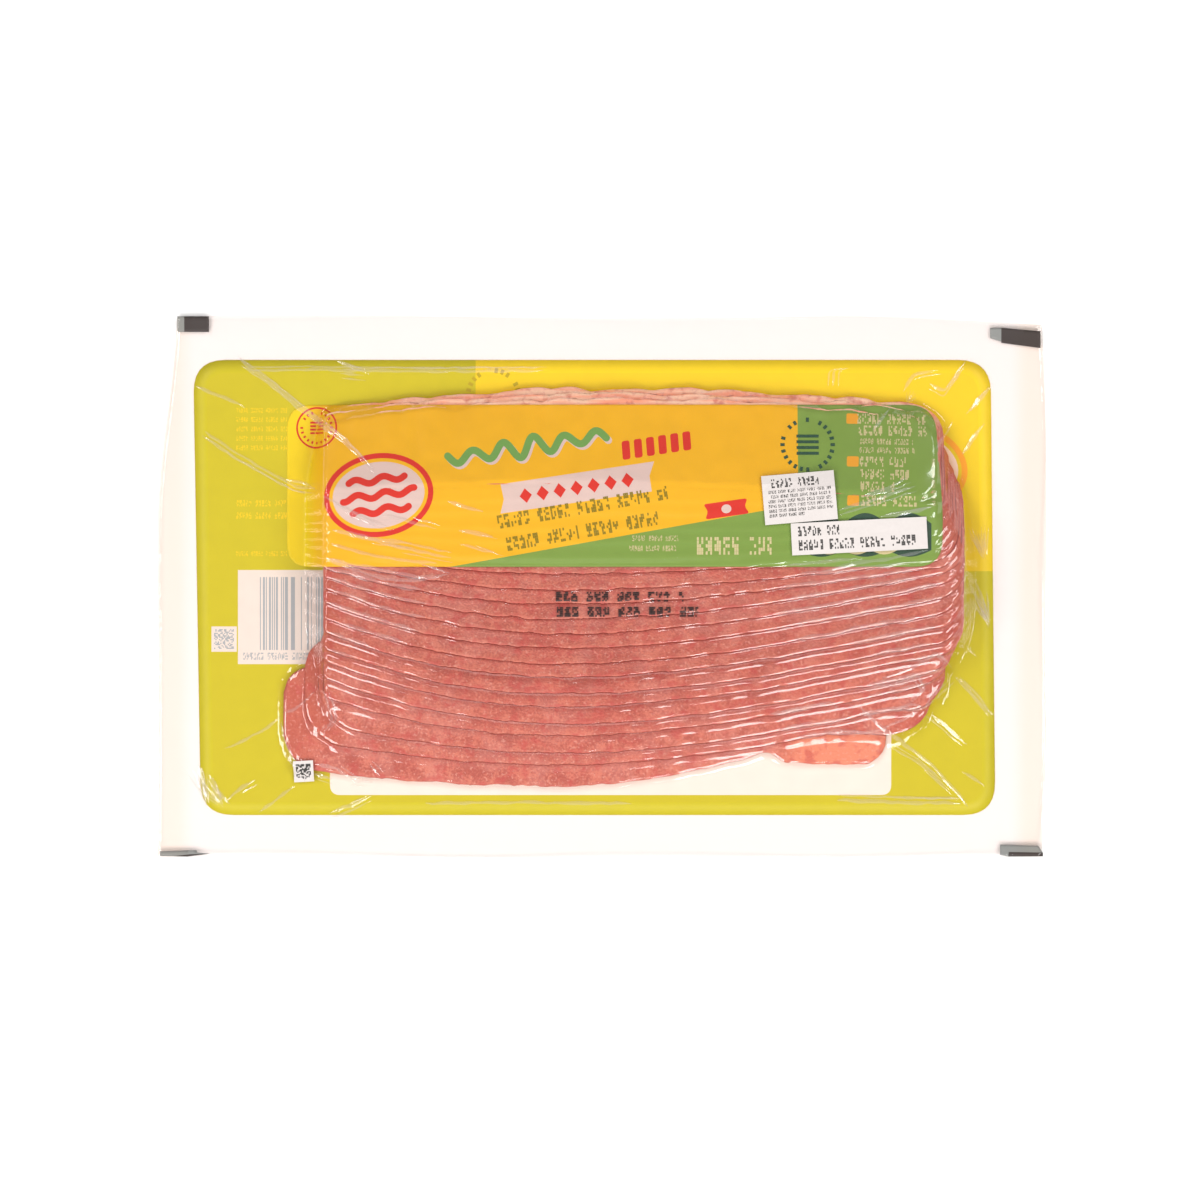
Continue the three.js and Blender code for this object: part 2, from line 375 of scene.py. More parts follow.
# Cured formed meat under film: rose, salmon at the cut edge, with fine specks of fat and of darker red.
# Near the next slice's edge the colour is painted: greyer as painted shade, and lighter to even out the
# rendered shadow. A thin dark line there is painted shadow. It is moist, so its roughness is low for
# meat.
sliced_meat, tree = new_material("cured_formed_meat")
place = object_place(tree)
grain = noise_at(tree, place, 1300.0)
blotches = noise_at(tree, place, 170.0, 4.0)
wander = maths(tree, "MULTIPLY_ADD", grain, 3.2, -1.6)
tone = maths(tree, "ADD", blotches, grain)
face_colour = mixed(tree, grown(tree, tone, 0.86, 1.14), linear("#B35A4D"), linear("#D37B67"))
to_next = attribute_of(tree, "to_next")
# Painted shade: within about 3 mm of the next slice's edge the rose is mixed to a greyer, lighter tone.
painted_shade_share = faded(tree, maths(tree, "ADD", to_next, wander), 0.2, 3.4, 0.5)
with_painted_shade = mixed(tree, painted_shade_share, face_colour, linear("#CA7B70"))
cut_edge = attribute_of(tree, "from_edge")
edge_share = faded(tree, maths(tree, "ADD", cut_edge, wander), 0.2, 2.6, 0.3)
edged = mixed(tree, edge_share, with_painted_shade, linear("#CE7662"))
patches = noise_at(tree, place, 80.0, 5.0)
paled = mixed(tree, faded(tree, patches, 0.4, 0.5, 0.2), edged, linear("#D9958A"))
patched = mixed(tree, grown(tree, patches, 0.52, 0.64, 0.22), paled, linear("#C4564C"))
ended = mixed(tree, attribute_of(tree, "to_ends"), patched, linear("#BE5C48"))
bare = mixed(tree, attribute_of(tree, "to_bare_end"), ended, linear("#E58A6C"))
lengthwise = moved_place(tree, "MULTIPLY", place, (0.1, 1.0, 1.0))
streaks = grown(tree, noise_at(tree, lengthwise, 520.0, 2.0), 0.4, 0.6)
tail_colour = mixed(tree, streaks, linear("#FFAA8A"), linear("#FFD2B4"))
pale = mixed(tree, attribute_of(tree, "to_tail"), bare, tail_colour)
fat_share = grown(tree, noise_at(tree, place, 1000.0, 6.0), 0.57, 0.66, 0.5)
with_fat = mixed(tree, fat_share, pale, linear("#E6A798"))
red_spots = noise_at(tree, moved_place(tree, "ADD", place, (0.31, 0.17, 0.0)), 260.0, 6.0)
reddening = maths(tree, "ADD", red_spots, faded(tree, cut_edge, 0.0, 3.2, 0.07))
red_share = grown(tree, reddening, 0.54, 0.68, 0.6)
with_red = mixed(tree, red_share, with_fat, linear("#C2504A"))
# Painted shadow: a thin dark red line on each slice, just below the next slice's ragged edge.
painted_crevice_shadow = faded(tree, to_next, 0.1, 0.5, 0.8)
meat_colour = mixed(tree, painted_crevice_shadow, with_red, linear("#8C3226"))
meat_bump = bumped(tree, tone, 0.8, 0.0004)
meat = add_node(
    tree,
    "ShaderNodeBsdfPrincipled",
    {"Base Color": meat_colour, "Normal": meat_bump, "Roughness": 0.5, "IOR": 1.4},
)
finish_material(tree, meat.outputs["BSDF"])

COLUMNS = 290
LIP_STEPS = [0.0, 0.1, 0.3, 0.65, 1.3, 2.4, 4.0, 6.5]
half_rows = [step / WIDTH for step in LIP_STEPS]
row_shares = np.array(half_rows + [0.3, 0.5, 0.7] + [1 - share for share in reversed(half_rows)])
column_shares = np.linspace(0, 1, COLUMNS)


def end_inset(distance, radius):
    """How far a rounded end stands in, at a distance from the long edge."""
    return radius - np.sqrt(radius**2 - (radius - np.minimum(distance, radius)) ** 2)


for k in range(1, SLICES + 1):
    share_along, share_across = np.meshgrid(column_shares, row_shares)
    from_long_edge = np.minimum(share_across, 1 - share_across) * WIDTH
    left = left_end(k) + end_inset(from_long_edge, left_radius(k))
    right = right_end(k) - end_inset(from_long_edge, right_radius(k))
    right = right + 0.5 * unevenness(share_across * 40, 9.0 * k, 5.0, 16)
    x = left + (right - left) * share_along
    y = lower_edge(k, x) + share_across * seen_width(k, x)
    y = y + fine_edge(k, x) * np.clip(1 - share_across * 12, 0, 1)
    inside = np.clip(-outside_slice(k, x, y), 0, LIP)
    rounding = LIP * (1 - np.sqrt(1 - (1 - inside / LIP) ** 2))
    plane = slice_plane(k, x, y)
    # Near its lower edge a slice sags towards the one below, which closes the gap between them.
    hanging = 2.0 * np.clip(1 - share_across * WIDTH / 4, 0, 1)
    under = np.maximum(plane - THICK - 0.1 - hanging, bed_under(k, x, y) + 0.03)
    top = np.maximum(plane - rounding, under + 0.35)
    upper = np.stack([x, y, top], -1).reshape(-1, 3)
    lower = np.stack([x, y, np.minimum(under, top - 0.3)], -1).reshape(-1, 3)
    points, faces = closed_plate(upper, lower, len(row_shares), COLUMNS)
    bacon = new_piece(f"slice_{k:02d}", points, faces, sliced_meat)
    from_edge = np.minimum(share_across * seen_width(k, x), 6).reshape(-1)
    nearest_end = np.minimum(x - left_end(k), right_end(k) - x)
    to_ends = 0.75 * smooth(1 - nearest_end / (20.0 if k < 3 else 7.0))
    to_bare_end = smooth((x - BARE_FROM) / 14) if k == 1 else 0 * x
    to_next = np.full_like(x, 9.0)
    if k < SLICES:
        # How far it is to the next slice's ragged edge. The upper ends get a fainter painted shadow
        # line.
        to_next = outside_slice(k + 1, x, y) + fine_edge(k + 1, x)
        to_next = to_next + 0.3 * (share_across > 0.5)
    from_tail = (1 - share_across) * seen_width(k, x)
    to_tail = smooth(1 - from_tail / 9) if k >= TAIL_FROM else 0 * x
    values_of = {"from_edge": from_edge, "to_ends": to_ends, "to_next": to_next, "to_tail": to_tail}
    values_of["to_bare_end"] = to_bare_end
    for name, values in values_of.items():
        layer = bacon.data.attributes.new(name, "FLOAT", "POINT")
        layer.data.foreach_set("value", np.tile(values.reshape(-1), 2))
    belongs(bacon)


# Clear film.
# Two webs of clear plastic film, drawn down over the slices by vacuum and heat-sealed in a wide
# margin all round. The front web bridges each step and folds into fine creases beside the stack.
HALF_LONG = 151.1
LOW_EDGE = -92
TALL = 183.9
FILM = 0.5
SLACK = 0.22
SIDE_FALL = 2.4
LABEL = {"left": -107.1, "right": 115.3, "bottom": 6.8, "top": 61.9}
# The printed field is stiffer than bare film. It fills this share of each step under it, and less
# over the last few millimetres to its edge.
LABEL_FILL = 0.75
LABEL_FADE = 3


def curl(x, y):
    """How far the margin lifts off the table."""
    past = np.hypot(np.maximum(0, np.abs(x) - 137), np.maximum(0, np.abs(y) - 77))
    wave = 0.55 + 0.45 * np.sin(x / 21 + 0.8) * np.cos(y / 17)
    return 2.4 * smooth(past / 22) * wave


def label_share(x, y):
    """1 where the printed front field lies on the stack, 0 off it."""
    sideways = np.minimum(x - LEFT_END, LABEL["right"] - x)
    upright = np.minimum(y - LABEL["bottom"], LABEL["top"] - y)
    return smooth(np.minimum(sideways, upright) / LABEL_FADE)


def wrap_height(x, y):
    """Height of the front film over the back one, before creases."""
    height = np.zeros_like(x)
    span = np.zeros_like(x)
    for k in range(1, SLICES + 1):
        past = outside_slice(k, x, y)
        # Film leaves each lip at about the slices' tilt, here and there steeper, and then drops.
        run = np.clip(past + 1.1, 0, 1.5)
        tilt = (crest(k) - tail_height(k)) / seen_width(k, x)
        steep = (0.3 + 0.7 * tilt) * (1 + 0.35 * unevenness(x, 23.0 * k, 9.0, 20))
        fall = steep * run + 0.12 * run**2 + SIDE_FALL * np.maximum(0, past - 0.4)
        height = np.maximum(height, slice_plane(k, x, y) - fall)
        span = np.where(y >= lower_edge(k, x), crest(k), span)
    last = lower_edge(SLICES, x)
    droop = DROOP * np.maximum(0, x - RIGHT_END + 16) ** 2
    span = np.where(y < last, span - droop, 0)
    height = height + np.maximum(0, span - height) * LABEL_FILL * label_share(x, y)
    return np.maximum(0, height)


def film_top(x, y):
    """Height of the front film's outer face."""
    x, y = np.asarray(x, float), np.asarray(y, float)
    wrap = wrap_height(x, y)
    return FILM + curl(x, y) + wrap + SLACK * smooth(wrap)


def outline_bottom(x):
    return LOW_EDGE + 0.4 * np.sin(7 * (x + HALF_LONG) / (2 * HALF_LONG) + 1)


def outline_top(x):
    share = (x + HALF_LONG) / (2 * HALF_LONG)
    return 91.9 - 3.2 * smooth((share - 0.75) / 0.3) + 0.5 * np.sin(9 * share)


def outline_left(y):
    return -HALF_LONG + 7 * smooth(((y - LOW_EDGE) / TALL - 0.6) / 0.45)


def outline_right(y):
    return HALF_LONG - 2 * (2 * (y - LOW_EDGE) / TALL - 1) ** 4


def film_grid():
    """Points over the whole film. Rows follow the slices' lower edges, to keep the steps clean."""
    # Columns from the left edge to the right one, closer over the ends of the stack.
    zones = [(-HALF_LONG, -104, 48), (-104, -92, 30), (-92, 108, 236), (108, 131, 44)]
    columns = [np.linspace(start, end, count, endpoint=False) for start, end, count in zones]
    columns = np.concatenate([*columns, np.linspace(131, HALF_LONG, 22)])
    knots = [outline_bottom(columns)]
    first = lower_edge(1, columns)
    foot = first - 1.6
    knots += [knots[0] + (foot - knots[0]) * share for share in np.linspace(0, 1, 25)[1:]]
    for k in range(1, SLICES):
        edge, following = lower_edge(k, columns), lower_edge(k + 1, columns)
        shares = (-0.13, -0.05, 0.02, 0.1, 0.24, 0.55)
        knots += [edge + (following - edge) * share for share in shares]
    last, crown = lower_edge(SLICES, columns), top_edge(columns)
    knots += [last + (crown - 5 - last) * share for share in np.linspace(-0.02, 1, 32)]
    knots += [crown + step for step in np.linspace(-4.6, 2, 14)]
    rim = outline_top(columns)
    knots += [crown + 2 + (rim - crown - 2) * share for share in np.linspace(0, 1, 24)[1:]]
    y = np.stack(knots)
    x = np.repeat(columns[None, :], len(knots), 0)
    x = x + (outline_left(y) + HALF_LONG) * (1 - smooth((x + HALF_LONG) / 34))
    x = x + (outline_right(y) - HALF_LONG) * (1 - smooth((HALF_LONG - x) / 18))
    return x, y


# Clear laminated film: hardly coloured, glossy and a little wavy, and a touch pinker near its ends,
# where it is sealed. It is thin, so it bends no light.
clear_film, tree = new_material("clear_laminated_film")
place = object_place(tree)
ripple = noise_at(tree, moved_place(tree, "MULTIPLY", place, (0.3, 1.0, 1.0)), 200.0, 1.0)
film_bump = bumped(tree, ripple, 0.25, 0.0006)
film_gloss = add_node(tree, "ShaderNodeBsdfGlossy", {"Roughness": 0.1, "Normal": film_bump})
across_pack = add_node(tree, "ShaderNodeSeparateXYZ", {"Vector": place}).outputs["X"]
seal_share = grown(tree, maths(tree, "ABSOLUTE", across_pack), 0.139, 0.144)
film_tint = mixed(tree, seal_share, linear("#FEFBFA"), linear("#FEF9F6"))
film_clear = add_node(tree, "ShaderNodeBsdfTransparent", {"Color": film_tint})
film_facing = add_node(tree, "ShaderNodeLayerWeight", {"Blend": 0.5, "Normal": film_bump})
film_glance = maths(tree, "POWER", film_facing.outputs["Facing"], 5.0)
film_mirror = maths(tree, "MULTIPLY_ADD", film_glance, 0.9, 0.08)
finish_material(tree, both_shaders(tree, film_mirror, film_clear, film_gloss))

x, y = film_grid()
rows, columns = x.shape
points = np.stack([x, y, film_top(x, y)], -1).reshape(-1, 3)
film_points, film_shape = points, x.shape
faces = grid_faces(rows, columns)
loop = border_of(rows, columns)
for share in (0.0, 0.015, 0.03, 0.05, 0.07, 0.095, 0.12, 0.165, 0.3):
    inner = points[border_of(rows, columns)] * (1 - share)
    inner[:, 2] = curl(inner[:, 0], inner[:, 1]) + 0.02
    next_loop = list(range(len(points), len(points) + len(inner)))
    points = np.concatenate([points, inner])
    for i, a in enumerate(loop):
        following = (i + 1) % len(loop)
        faces.append((a, next_loop[i], next_loop[following], loop[following]))
    loop = next_loop
middle = len(points)
points = np.concatenate([points, [[0, 0, 0.02]]])
faces += [(a, middle, loop[(i + 1) % len(loop)]) for i, a in enumerate(loop)]
clear_bag = new_piece("clear_bag", points, faces, clear_film)
belongs(clear_bag)


# Print on the films.
# Flat fields of ink are one thin sheet, cut along the outlines of its fields. Rows of small marks
# come from geometry nodes and are laid on the surface that carries them.
SHEET = 0.04
BACK_PRINT = 0.1
FRONT_PRINT = -0.3


def inked_film(name, colour, cover, roughness=0.5, over_panel=None):
    """Ink on film, a little mottled. cover is the share of the light that the sheet stops, and
    over_panel is its colour left of the stack, where the lime panel lights it from below."""
    material, tree = new_material(name)
    place = object_place(tree)
    base = linear(colour)
    if over_panel:
        along = add_node(tree, "ShaderNodeSeparateXYZ", {"Vector": place}).outputs["X"]
        base = mixed(tree, faded(tree, along, -0.101, -0.095), base, linear(over_panel))
    mottle = maths(tree, "MULTIPLY_ADD", noise_at(tree, place, 160.0), 0.09, 0.95)
    tint = add_node(tree, "ShaderNodeHueSaturation", {"Color": base, "Value": mottle})
    look = {"Base Color": tint.outputs["Color"], "Roughness": roughness}
    ink = add_node(tree, "ShaderNodeBsdfPrincipled", look)
    if cover == 1:
        finish_material(tree, ink.outputs["BSDF"])
        return material
    clear = add_node(tree, "ShaderNodeBsdfTransparent")
    each_side = 1 - math.sqrt(1 - cover)
    finish_material(tree, both_shaders(tree, each_side, clear, ink))
    return material


def rectangle(left, right, bottom, top):
    return [(left, bottom), (right, bottom), (right, top), (left, top)]


def rounded(corners, reaches):
    """An outline whose corners are turned to curves. Each curve begins at reach from its corner."""
    corners = np.asarray(corners, float)
    outline = []
    for i, corner in enumerate(corners):
        before, after = corners[i - 1], corners[(i + 1) % len(corners)]
        reach = reaches[i]
        if reach == 0:
            outline.append(corner)
            continue
        start = corner + (before - corner) * reach / np.linalg.norm(before - corner)
        end = corner + (after - corner) * reach / np.linalg.norm(after - corner)
        for t in np.linspace(0, 1, 8):
            outline.append(start * (1 - t) ** 2 + corner * 2 * t * (1 - t) + end * t**2)
    return outline


def turned(points, centre, degrees):
    """Points about the origin, turned and moved to centre."""
    angle = math.radians(degrees)
    ahead = np.array([math.cos(angle), math.sin(angle)])
    aside = np.array([-math.sin(angle), math.cos(angle)])
    points = np.asarray(points, float)
    return points[:, :1] * ahead + points[:, 1:2] * aside + np.asarray(centre)


def oval(wide, high, sides=48):
    return [
        (wide * math.cos(2 * math.pi * i / sides), high * math.sin(2 * math.pi * i / sides))
        for i in range(sides)
    ]


def ahead_and_aside(course):
    """Unit vectors along a course of points and to its left."""
    ahead = np.gradient(course, axis=0)
    ahead = ahead / np.linalg.norm(ahead, axis=1)[:, None]
    return ahead, np.stack([-ahead[:, 1], ahead[:, 0]], 1)


def stroke(course, width):
    """Outline of a stroke with round ends that follows a course of points."""
    course = np.asarray(course, float)
    way, side = ahead_and_aside(course)
    outline = list(course - side * width / 2)
    for angle in np.linspace(-60, 60, 5):
        turn = math.radians(angle)
        outline.append(course[-1] + (way[-1] * math.cos(turn) + side[-1] * math.sin(turn)) * width / 2)
    outline += list((course + side * width / 2)[::-1])
    for angle in np.linspace(60, -60, 5):
        turn = math.radians(angle)
        outline.append(course[0] - (way[0] * math.cos(turn) - side[0] * math.sin(turn)) * width / 2)
    return outline


def divided(outline, spacing):
    """The same outline with no two points further apart than spacing."""
    outline = [np.asarray(point, float) for point in outline]
    points = []
    for a, b in zip(outline, outline[1:] + outline[:1]):
        steps = max(1, math.ceil(np.linalg.norm(b - a) / spacing))
        points += [a + (b - a) * i / steps for i in range(steps)]
    return points


def within(outline, x, y):
    """Which points lie inside a closed outline."""
    inside = np.zeros(x.shape, bool)
    for (ax, ay), (bx, by) in zip(outline, list(outline[1:]) + [outline[0]]):
        if ay != by:
            crossed = (ay > y) != (by > y)
            inside ^= crossed & (x < ax + (y - ay) * (bx - ax) / (by - ay))
    return inside


def printed_sheet(name, fields, surface, lift, spacing=0.0):
    """A thin sheet cut into fields. Each field is an outline and its ink, and a later one lies
    over an earlier one. The first is the whole sheet."""
    reach = spacing or 400
    corners, borders = [], []
    for outline, _ in fields:
        ring = divided(outline, reach)
        first = len(corners)
        corners += ring
        borders += [(first + i, first + (i + 1) % len(ring)) for i in range(len(ring))]
    sheet_outline = divided(fields[0][0], reach)
    if spacing:
        low, high = np.min(sheet_outline, 0), np.max(sheet_outline, 0)
        grid_x, grid_y = np.meshgrid(
            np.arange(low[0], high[0], spacing), np.arange(low[1], high[1], spacing)
        )
        grid_x[1::2] += spacing / 2
        free = within(sheet_outline, grid_x, grid_y)
        for x, y in corners:
            free &= (grid_x - x) ** 2 + (grid_y - y) ** 2 > (0.45 * spacing) ** 2
        corners += list(np.stack([grid_x[free], grid_y[free]], 1))
    whole = list(range(len(sheet_outline)))
    flat, _, cut, *_ = delaunay_2d_cdt([Vector(c) for c in corners], borders, [whole], 1, 1e-4)
    flat = np.array([tuple(point) for point in flat])
    middles = flat[np.array(cut)].mean(1)
    ink_of = np.zeros(len(cut), int)
    inks = []
    for outline, ink in fields:
        if ink not in inks:
            inks.append(ink)
        ink_of[within(outline, middles[:, 0], middles[:, 1])] = inks.index(ink)
    height = surface(flat[:, 0], flat[:, 1]) + lift
    upper = np.column_stack([flat, height + SHEET / 2])
    lower = np.column_stack([flat, height - SHEET / 2])
    count = len(flat)
    faces = [tuple(face) for face in cut]
    faces += [tuple(index + count for index in reversed(face)) for face in cut]
    owners = {}
    for face, ink in zip(cut, ink_of):
        for a, b in zip(face, face[1:] + face[:1]):
            owners[(a, b)] = ink
    rim = [(a, b) for a, b in owners if (b, a) not in owners]
    faces += [(a, a + count, b + count, b) for a, b in rim]
    sheet = new_piece(name, np.concatenate([upper, lower]), faces, inks[0])
    for ink in inks[1:]:
        sheet.data.materials.append(ink)
    ink_of = np.concatenate([ink_of, ink_of, [owners[edge] for edge in rim]])
    sheet.data.polygons.foreach_set("material_index", ink_of.astype(np.int32))
    is_smooth = [True] * (2 * len(cut)) + [False] * len(rim)
    sheet.data.polygons.foreach_set("use_smooth", is_smooth)
    sheet.data.update()
    return sheet


WHOLE_NUMBERS = ("Columns", "Rows", "Group", "Word", "Count", "Seed")
OF_EVERY_CELL = ("Cell Width", "Cell Height", "Cell Depth", "Fill", "Seed")


def new_marks_tree(name, numbers):
    """An empty tree of geometry nodes with named numbers and an ink as its inputs."""
    tree = bpy.data.node_groups.new(name, "GeometryNodeTree")
    for title in numbers:
        kind = "NodeSocketInt" if title in WHOLE_NUMBERS else "NodeSocketFloat"
        tree.interface.new_socket(title, in_out="INPUT", socket_type=kind)
    tree.interface.new_socket("Ink", in_out="INPUT", socket_type="NodeSocketMaterial")
    tree.interface.new_socket("Geometry", in_out="OUTPUT", socket_type="NodeSocketGeometry")
    return tree, tree.nodes.new("NodeGroupInput").outputs


def by_chance(tree, number, given):
    """Picks a random share of the marks, the same ones each time."""
    chance = add_node(
        tree, "FunctionNodeRandomValue", {"ID": number, "Seed": given["Seed"]}, data_type="FLOAT"
    )
    return maths(tree, "LESS_THAN", chance.outputs[1], given["Fill"])


def finish_marks_tree(tree, given, points, chosen, turn):
    """Puts a block on each chosen point, realises the instances and gives them the ink."""
    sides = {"X": given["Cell Width"], "Y": given["Cell Height"], "Z": given["Cell Depth"]}
    size = add_node(tree, "ShaderNodeCombineXYZ", sides)
    block = add_node(tree, "GeometryNodeMeshCube", {"Size": size.outputs[0]})
    rotation = add_node(tree, "FunctionNodeEulerToRotation", {0: turn})
    placing = {"Points": points, "Selection": chosen, "Instance": block.outputs["Mesh"]}
    blocks = add_node(tree, "GeometryNodeInstanceOnPoints", placing)
    tree.links.new(rotation.outputs[0], blocks.inputs["Rotation"])
    real = add_node(tree, "GeometryNodeRealizeInstances", {"Geometry": blocks.outputs[0]})
    look = {"Geometry": real.outputs[0], "Material": given["Ink"]}
    inked = add_node(tree, "GeometryNodeSetMaterial", look)
    add_node(tree, "NodeGroupOutput", {"Geometry": inked.outputs[0]})


# Rows of cells: small blocks in columns and rows. After each group of columns one is left out, as
# between letters, and after each word a whole group. Of the rest a share is filled at random.
rows_of_cells, given = new_marks_tree(
    "rows_of_cells",
    ["Columns", "Rows", "Column Pitch", "Row Pitch", "Group", "Word", *OF_EVERY_CELL],
)
tree = rows_of_cells
cell = add_node(tree, "GeometryNodeInputIndex").outputs[0]
column = maths(tree, "FLOORED_MODULO", cell, given["Columns"])
row = maths(tree, "FLOOR", maths(tree, "DIVIDE", cell, given["Columns"]))
half_column = maths(tree, "MULTIPLY", given["Column Pitch"], 0.5)
across = maths(tree, "ADD", maths(tree, "MULTIPLY", column, given["Column Pitch"]), half_column)
rows_down = maths(tree, "SUBTRACT", -0.5, row)
down = maths(tree, "MULTIPLY", rows_down, given["Row Pitch"])
cell_place = add_node(tree, "ShaderNodeCombineXYZ", {"X": across, "Y": down})
cell_count = maths(tree, "MULTIPLY", given["Columns"], given["Rows"])
cell_points = add_node(
    tree, "GeometryNodePoints", {"Count": cell_count, "Position": cell_place.outputs[0]}
)
group_span = maths(tree, "ADD", given["Group"], 1.0)
in_group = maths(tree, "FLOORED_MODULO", column, group_span)
in_letter = maths(tree, "LESS_THAN", in_group, given["Group"])
letter = maths(tree, "FLOOR", maths(tree, "DIVIDE", column, group_span))
last_letter = maths(tree, "SUBTRACT", given["Word"], 1.0)
in_turn = maths(tree, "FLOORED_MODULO", letter, given["Word"])
in_word = maths(tree, "LESS_THAN", in_turn, last_letter)
filled = by_chance(tree, cell, given)
kept_cells = maths(tree, "MULTIPLY", maths(tree, "MULTIPLY", in_letter, in_word), filled)
finish_marks_tree(tree, given, cell_points.outputs[0], kept_cells, (0.0, 0.0, 0.0))

# Ring of marks: blocks round a circle, each one turned to face its middle.
ring_of_marks, given = new_marks_tree("ring_of_marks", ["Count", "Radius", "Step", *OF_EVERY_CELL])
tree = ring_of_marks
mark = add_node(tree, "GeometryNodeInputIndex").outputs[0]
angle = maths(tree, "MULTIPLY", mark, given["Step"])
outwards = maths(tree, "MULTIPLY", maths(tree, "COSINE", angle), given["Radius"])
upwards = maths(tree, "MULTIPLY", maths(tree, "SINE", angle), given["Radius"])
mark_place = add_node(tree, "ShaderNodeCombineXYZ", {"X": outwards, "Y": upwards})
mark_points = add_node(
    tree, "GeometryNodePoints", {"Count": given["Count"], "Position": mark_place.outputs[0]}
)
mark_turn = add_node(tree, "ShaderNodeCombineXYZ", {"Z": angle})
kept_marks = by_chance(tree, mark, given)
finish_marks_tree(tree, given, mark_points.outputs[0], kept_marks, mark_turn.outputs[0])


def every_cell(size, fill, seed, depth):
    """What both trees ask for: the size of a cell, the share that is filled, and the seed."""
    block = {"Cell Width": size[0], "Cell Height": size[1], "Cell Depth": depth}
    return {**block, "Fill": fill, "Seed": seed}


def cells(columns, rows, pitch, size, fill, seed, depth=0.06, group=99, word=99):
    """Settings of rows of cells. pitch and size are across and down."""
    counts = {"Columns": columns, "Rows": rows, "Group": group, "Word": word}
    counts.update({"Column Pitch": pitch[0], "Row Pitch": pitch[1]})
    return {**counts, **every_cell(size, fill, seed, depth)}


def ring(count, radius, size, fill, seed):
    """Settings of a ring of marks. size is outwards and along the ring."""
    circle = {"Count": count, "Radius": radius, "Step": 2 * math.pi / count}
    return {**circle, **every_cell(size, fill, seed, 0.06)}


def marks(name, tree, values, ink, corner, degrees, surface, lift):
    """Marks from a node tree, turned, moved to their corner and laid on a surface."""
    piece = bpy.data.objects.new(name, bpy.data.meshes.new(name))
    bpy.context.scene.collection.objects.link(piece)
    modifier = piece.modifiers.new("marks", "NODES")
    modifier.node_group = tree
    values = {**values, "Ink": ink}
    for socket in tree.interface.items_tree:
        if socket.in_out == "INPUT":
            modifier[socket.identifier] = values[socket.name]
    evaluated = piece.evaluated_get(bpy.context.evaluated_depsgraph_get())
    mesh = bpy.data.meshes.new_from_object(evaluated)
    piece.modifiers.remove(modifier)
    points = np.zeros(len(mesh.vertices) * 3)
    mesh.vertices.foreach_get("co", points)
    points = points.reshape(-1, 3)
    points[:, :2] = turned(points[:, :2], corner, degrees)
    points[:, 2] += surface(points[:, 0], points[:, 1]) + lift
    mesh.vertices.foreach_set("co", (points * MM).reshape(-1))
    mesh.update()
    piece.data = mesh
    return piece


def small_print(name, corner, length, high, degrees, ink, surface, lift, seed, word=6, depth=0.06):
    """A row of small print: broken strokes in the rhythm of words, which spell nothing."""
    row_pitch = high / 5
    column_pitch = 0.62 * row_pitch
    size = (0.9 * column_pitch, 0.95 * row_pitch)
    columns = round(length / column_pitch)
    values = cells(columns, 5, (column_pitch, row_pitch), size, 0.58, seed, depth, group=3, word=word)
    return marks(name, rows_of_cells, values, ink, corner, degrees, surface, lift)


def height_over(tree):
    """A function that gives the height of the uppermost face of a BVH tree in millimetres."""
    down = Vector((0, 0, -1))

    def height(x, y):
        return np.array([tree.ray_cast(Vector((a, b, 60)), down)[0].z for a, b in zip(x, y)])

    return height


def level(x, y):
    """The plane of the back film."""
    return np.zeros(len(x))


# Back print.
# A lime panel with a yellow right-hand top, printed inside the back film, so that it shows from
# both sides. The outer band is the heat seal, where the ink looks deeper.
lime_band = inked_film("lime_ink_in_heat_seal", "#C8BC04", 1)
lime_ink = inked_film("lime_ink_on_film", "#C8BA10", 1)
yellow_band = inked_film("yellow_ink_in_heat_seal", "#F0D008", 1)
yellow_ink = inked_film("yellow_ink_on_film", "#EBCA0E", 1)
white_ink = inked_film("off_white_ink_on_film", "#EEE2D6", 1)
code_field_ink = inked_film("bar_code_field_ink", "#E6D9CE", 1)
orange_ink = inked_film("orange_ink_on_film", "#F6A41F", 1)
pink_ink = inked_film("pale_pink_ink_on_film", "#FBDCC4", 1)
grey_ink = inked_film("grey_code_ink", "#A6AAAD", 1)
olive_ink = inked_film("olive_ink_on_film", "#B9A10F", 1)

PANEL = {"left": -137.7, "right": 132.9, "bottom": -77.5, "top": 77.2, "round": 11}
BAND = 4.4
YELLOW_FROM = -43.0
YELLOW_LOWEST = 5.4
inner = {
    "left": PANEL["left"] + BAND,
    "right": PANEL["right"] - BAND,
    "bottom": PANEL["bottom"] + BAND,
    "top": PANEL["top"] - BAND,
}


def panel_part(box, reaches):
    """A part of the panel. The panel's ends lean a little, as the web was cut askew."""
    corners = np.array(rectangle(box["left"], box["right"], box["bottom"], box["top"]))
    x, y = corners.T
    lean = np.where(x < -100, 1.3, np.where(x > 100, 0.8, 0))
    return rounded(np.stack([x - lean * y / 77, y], 1), reaches)


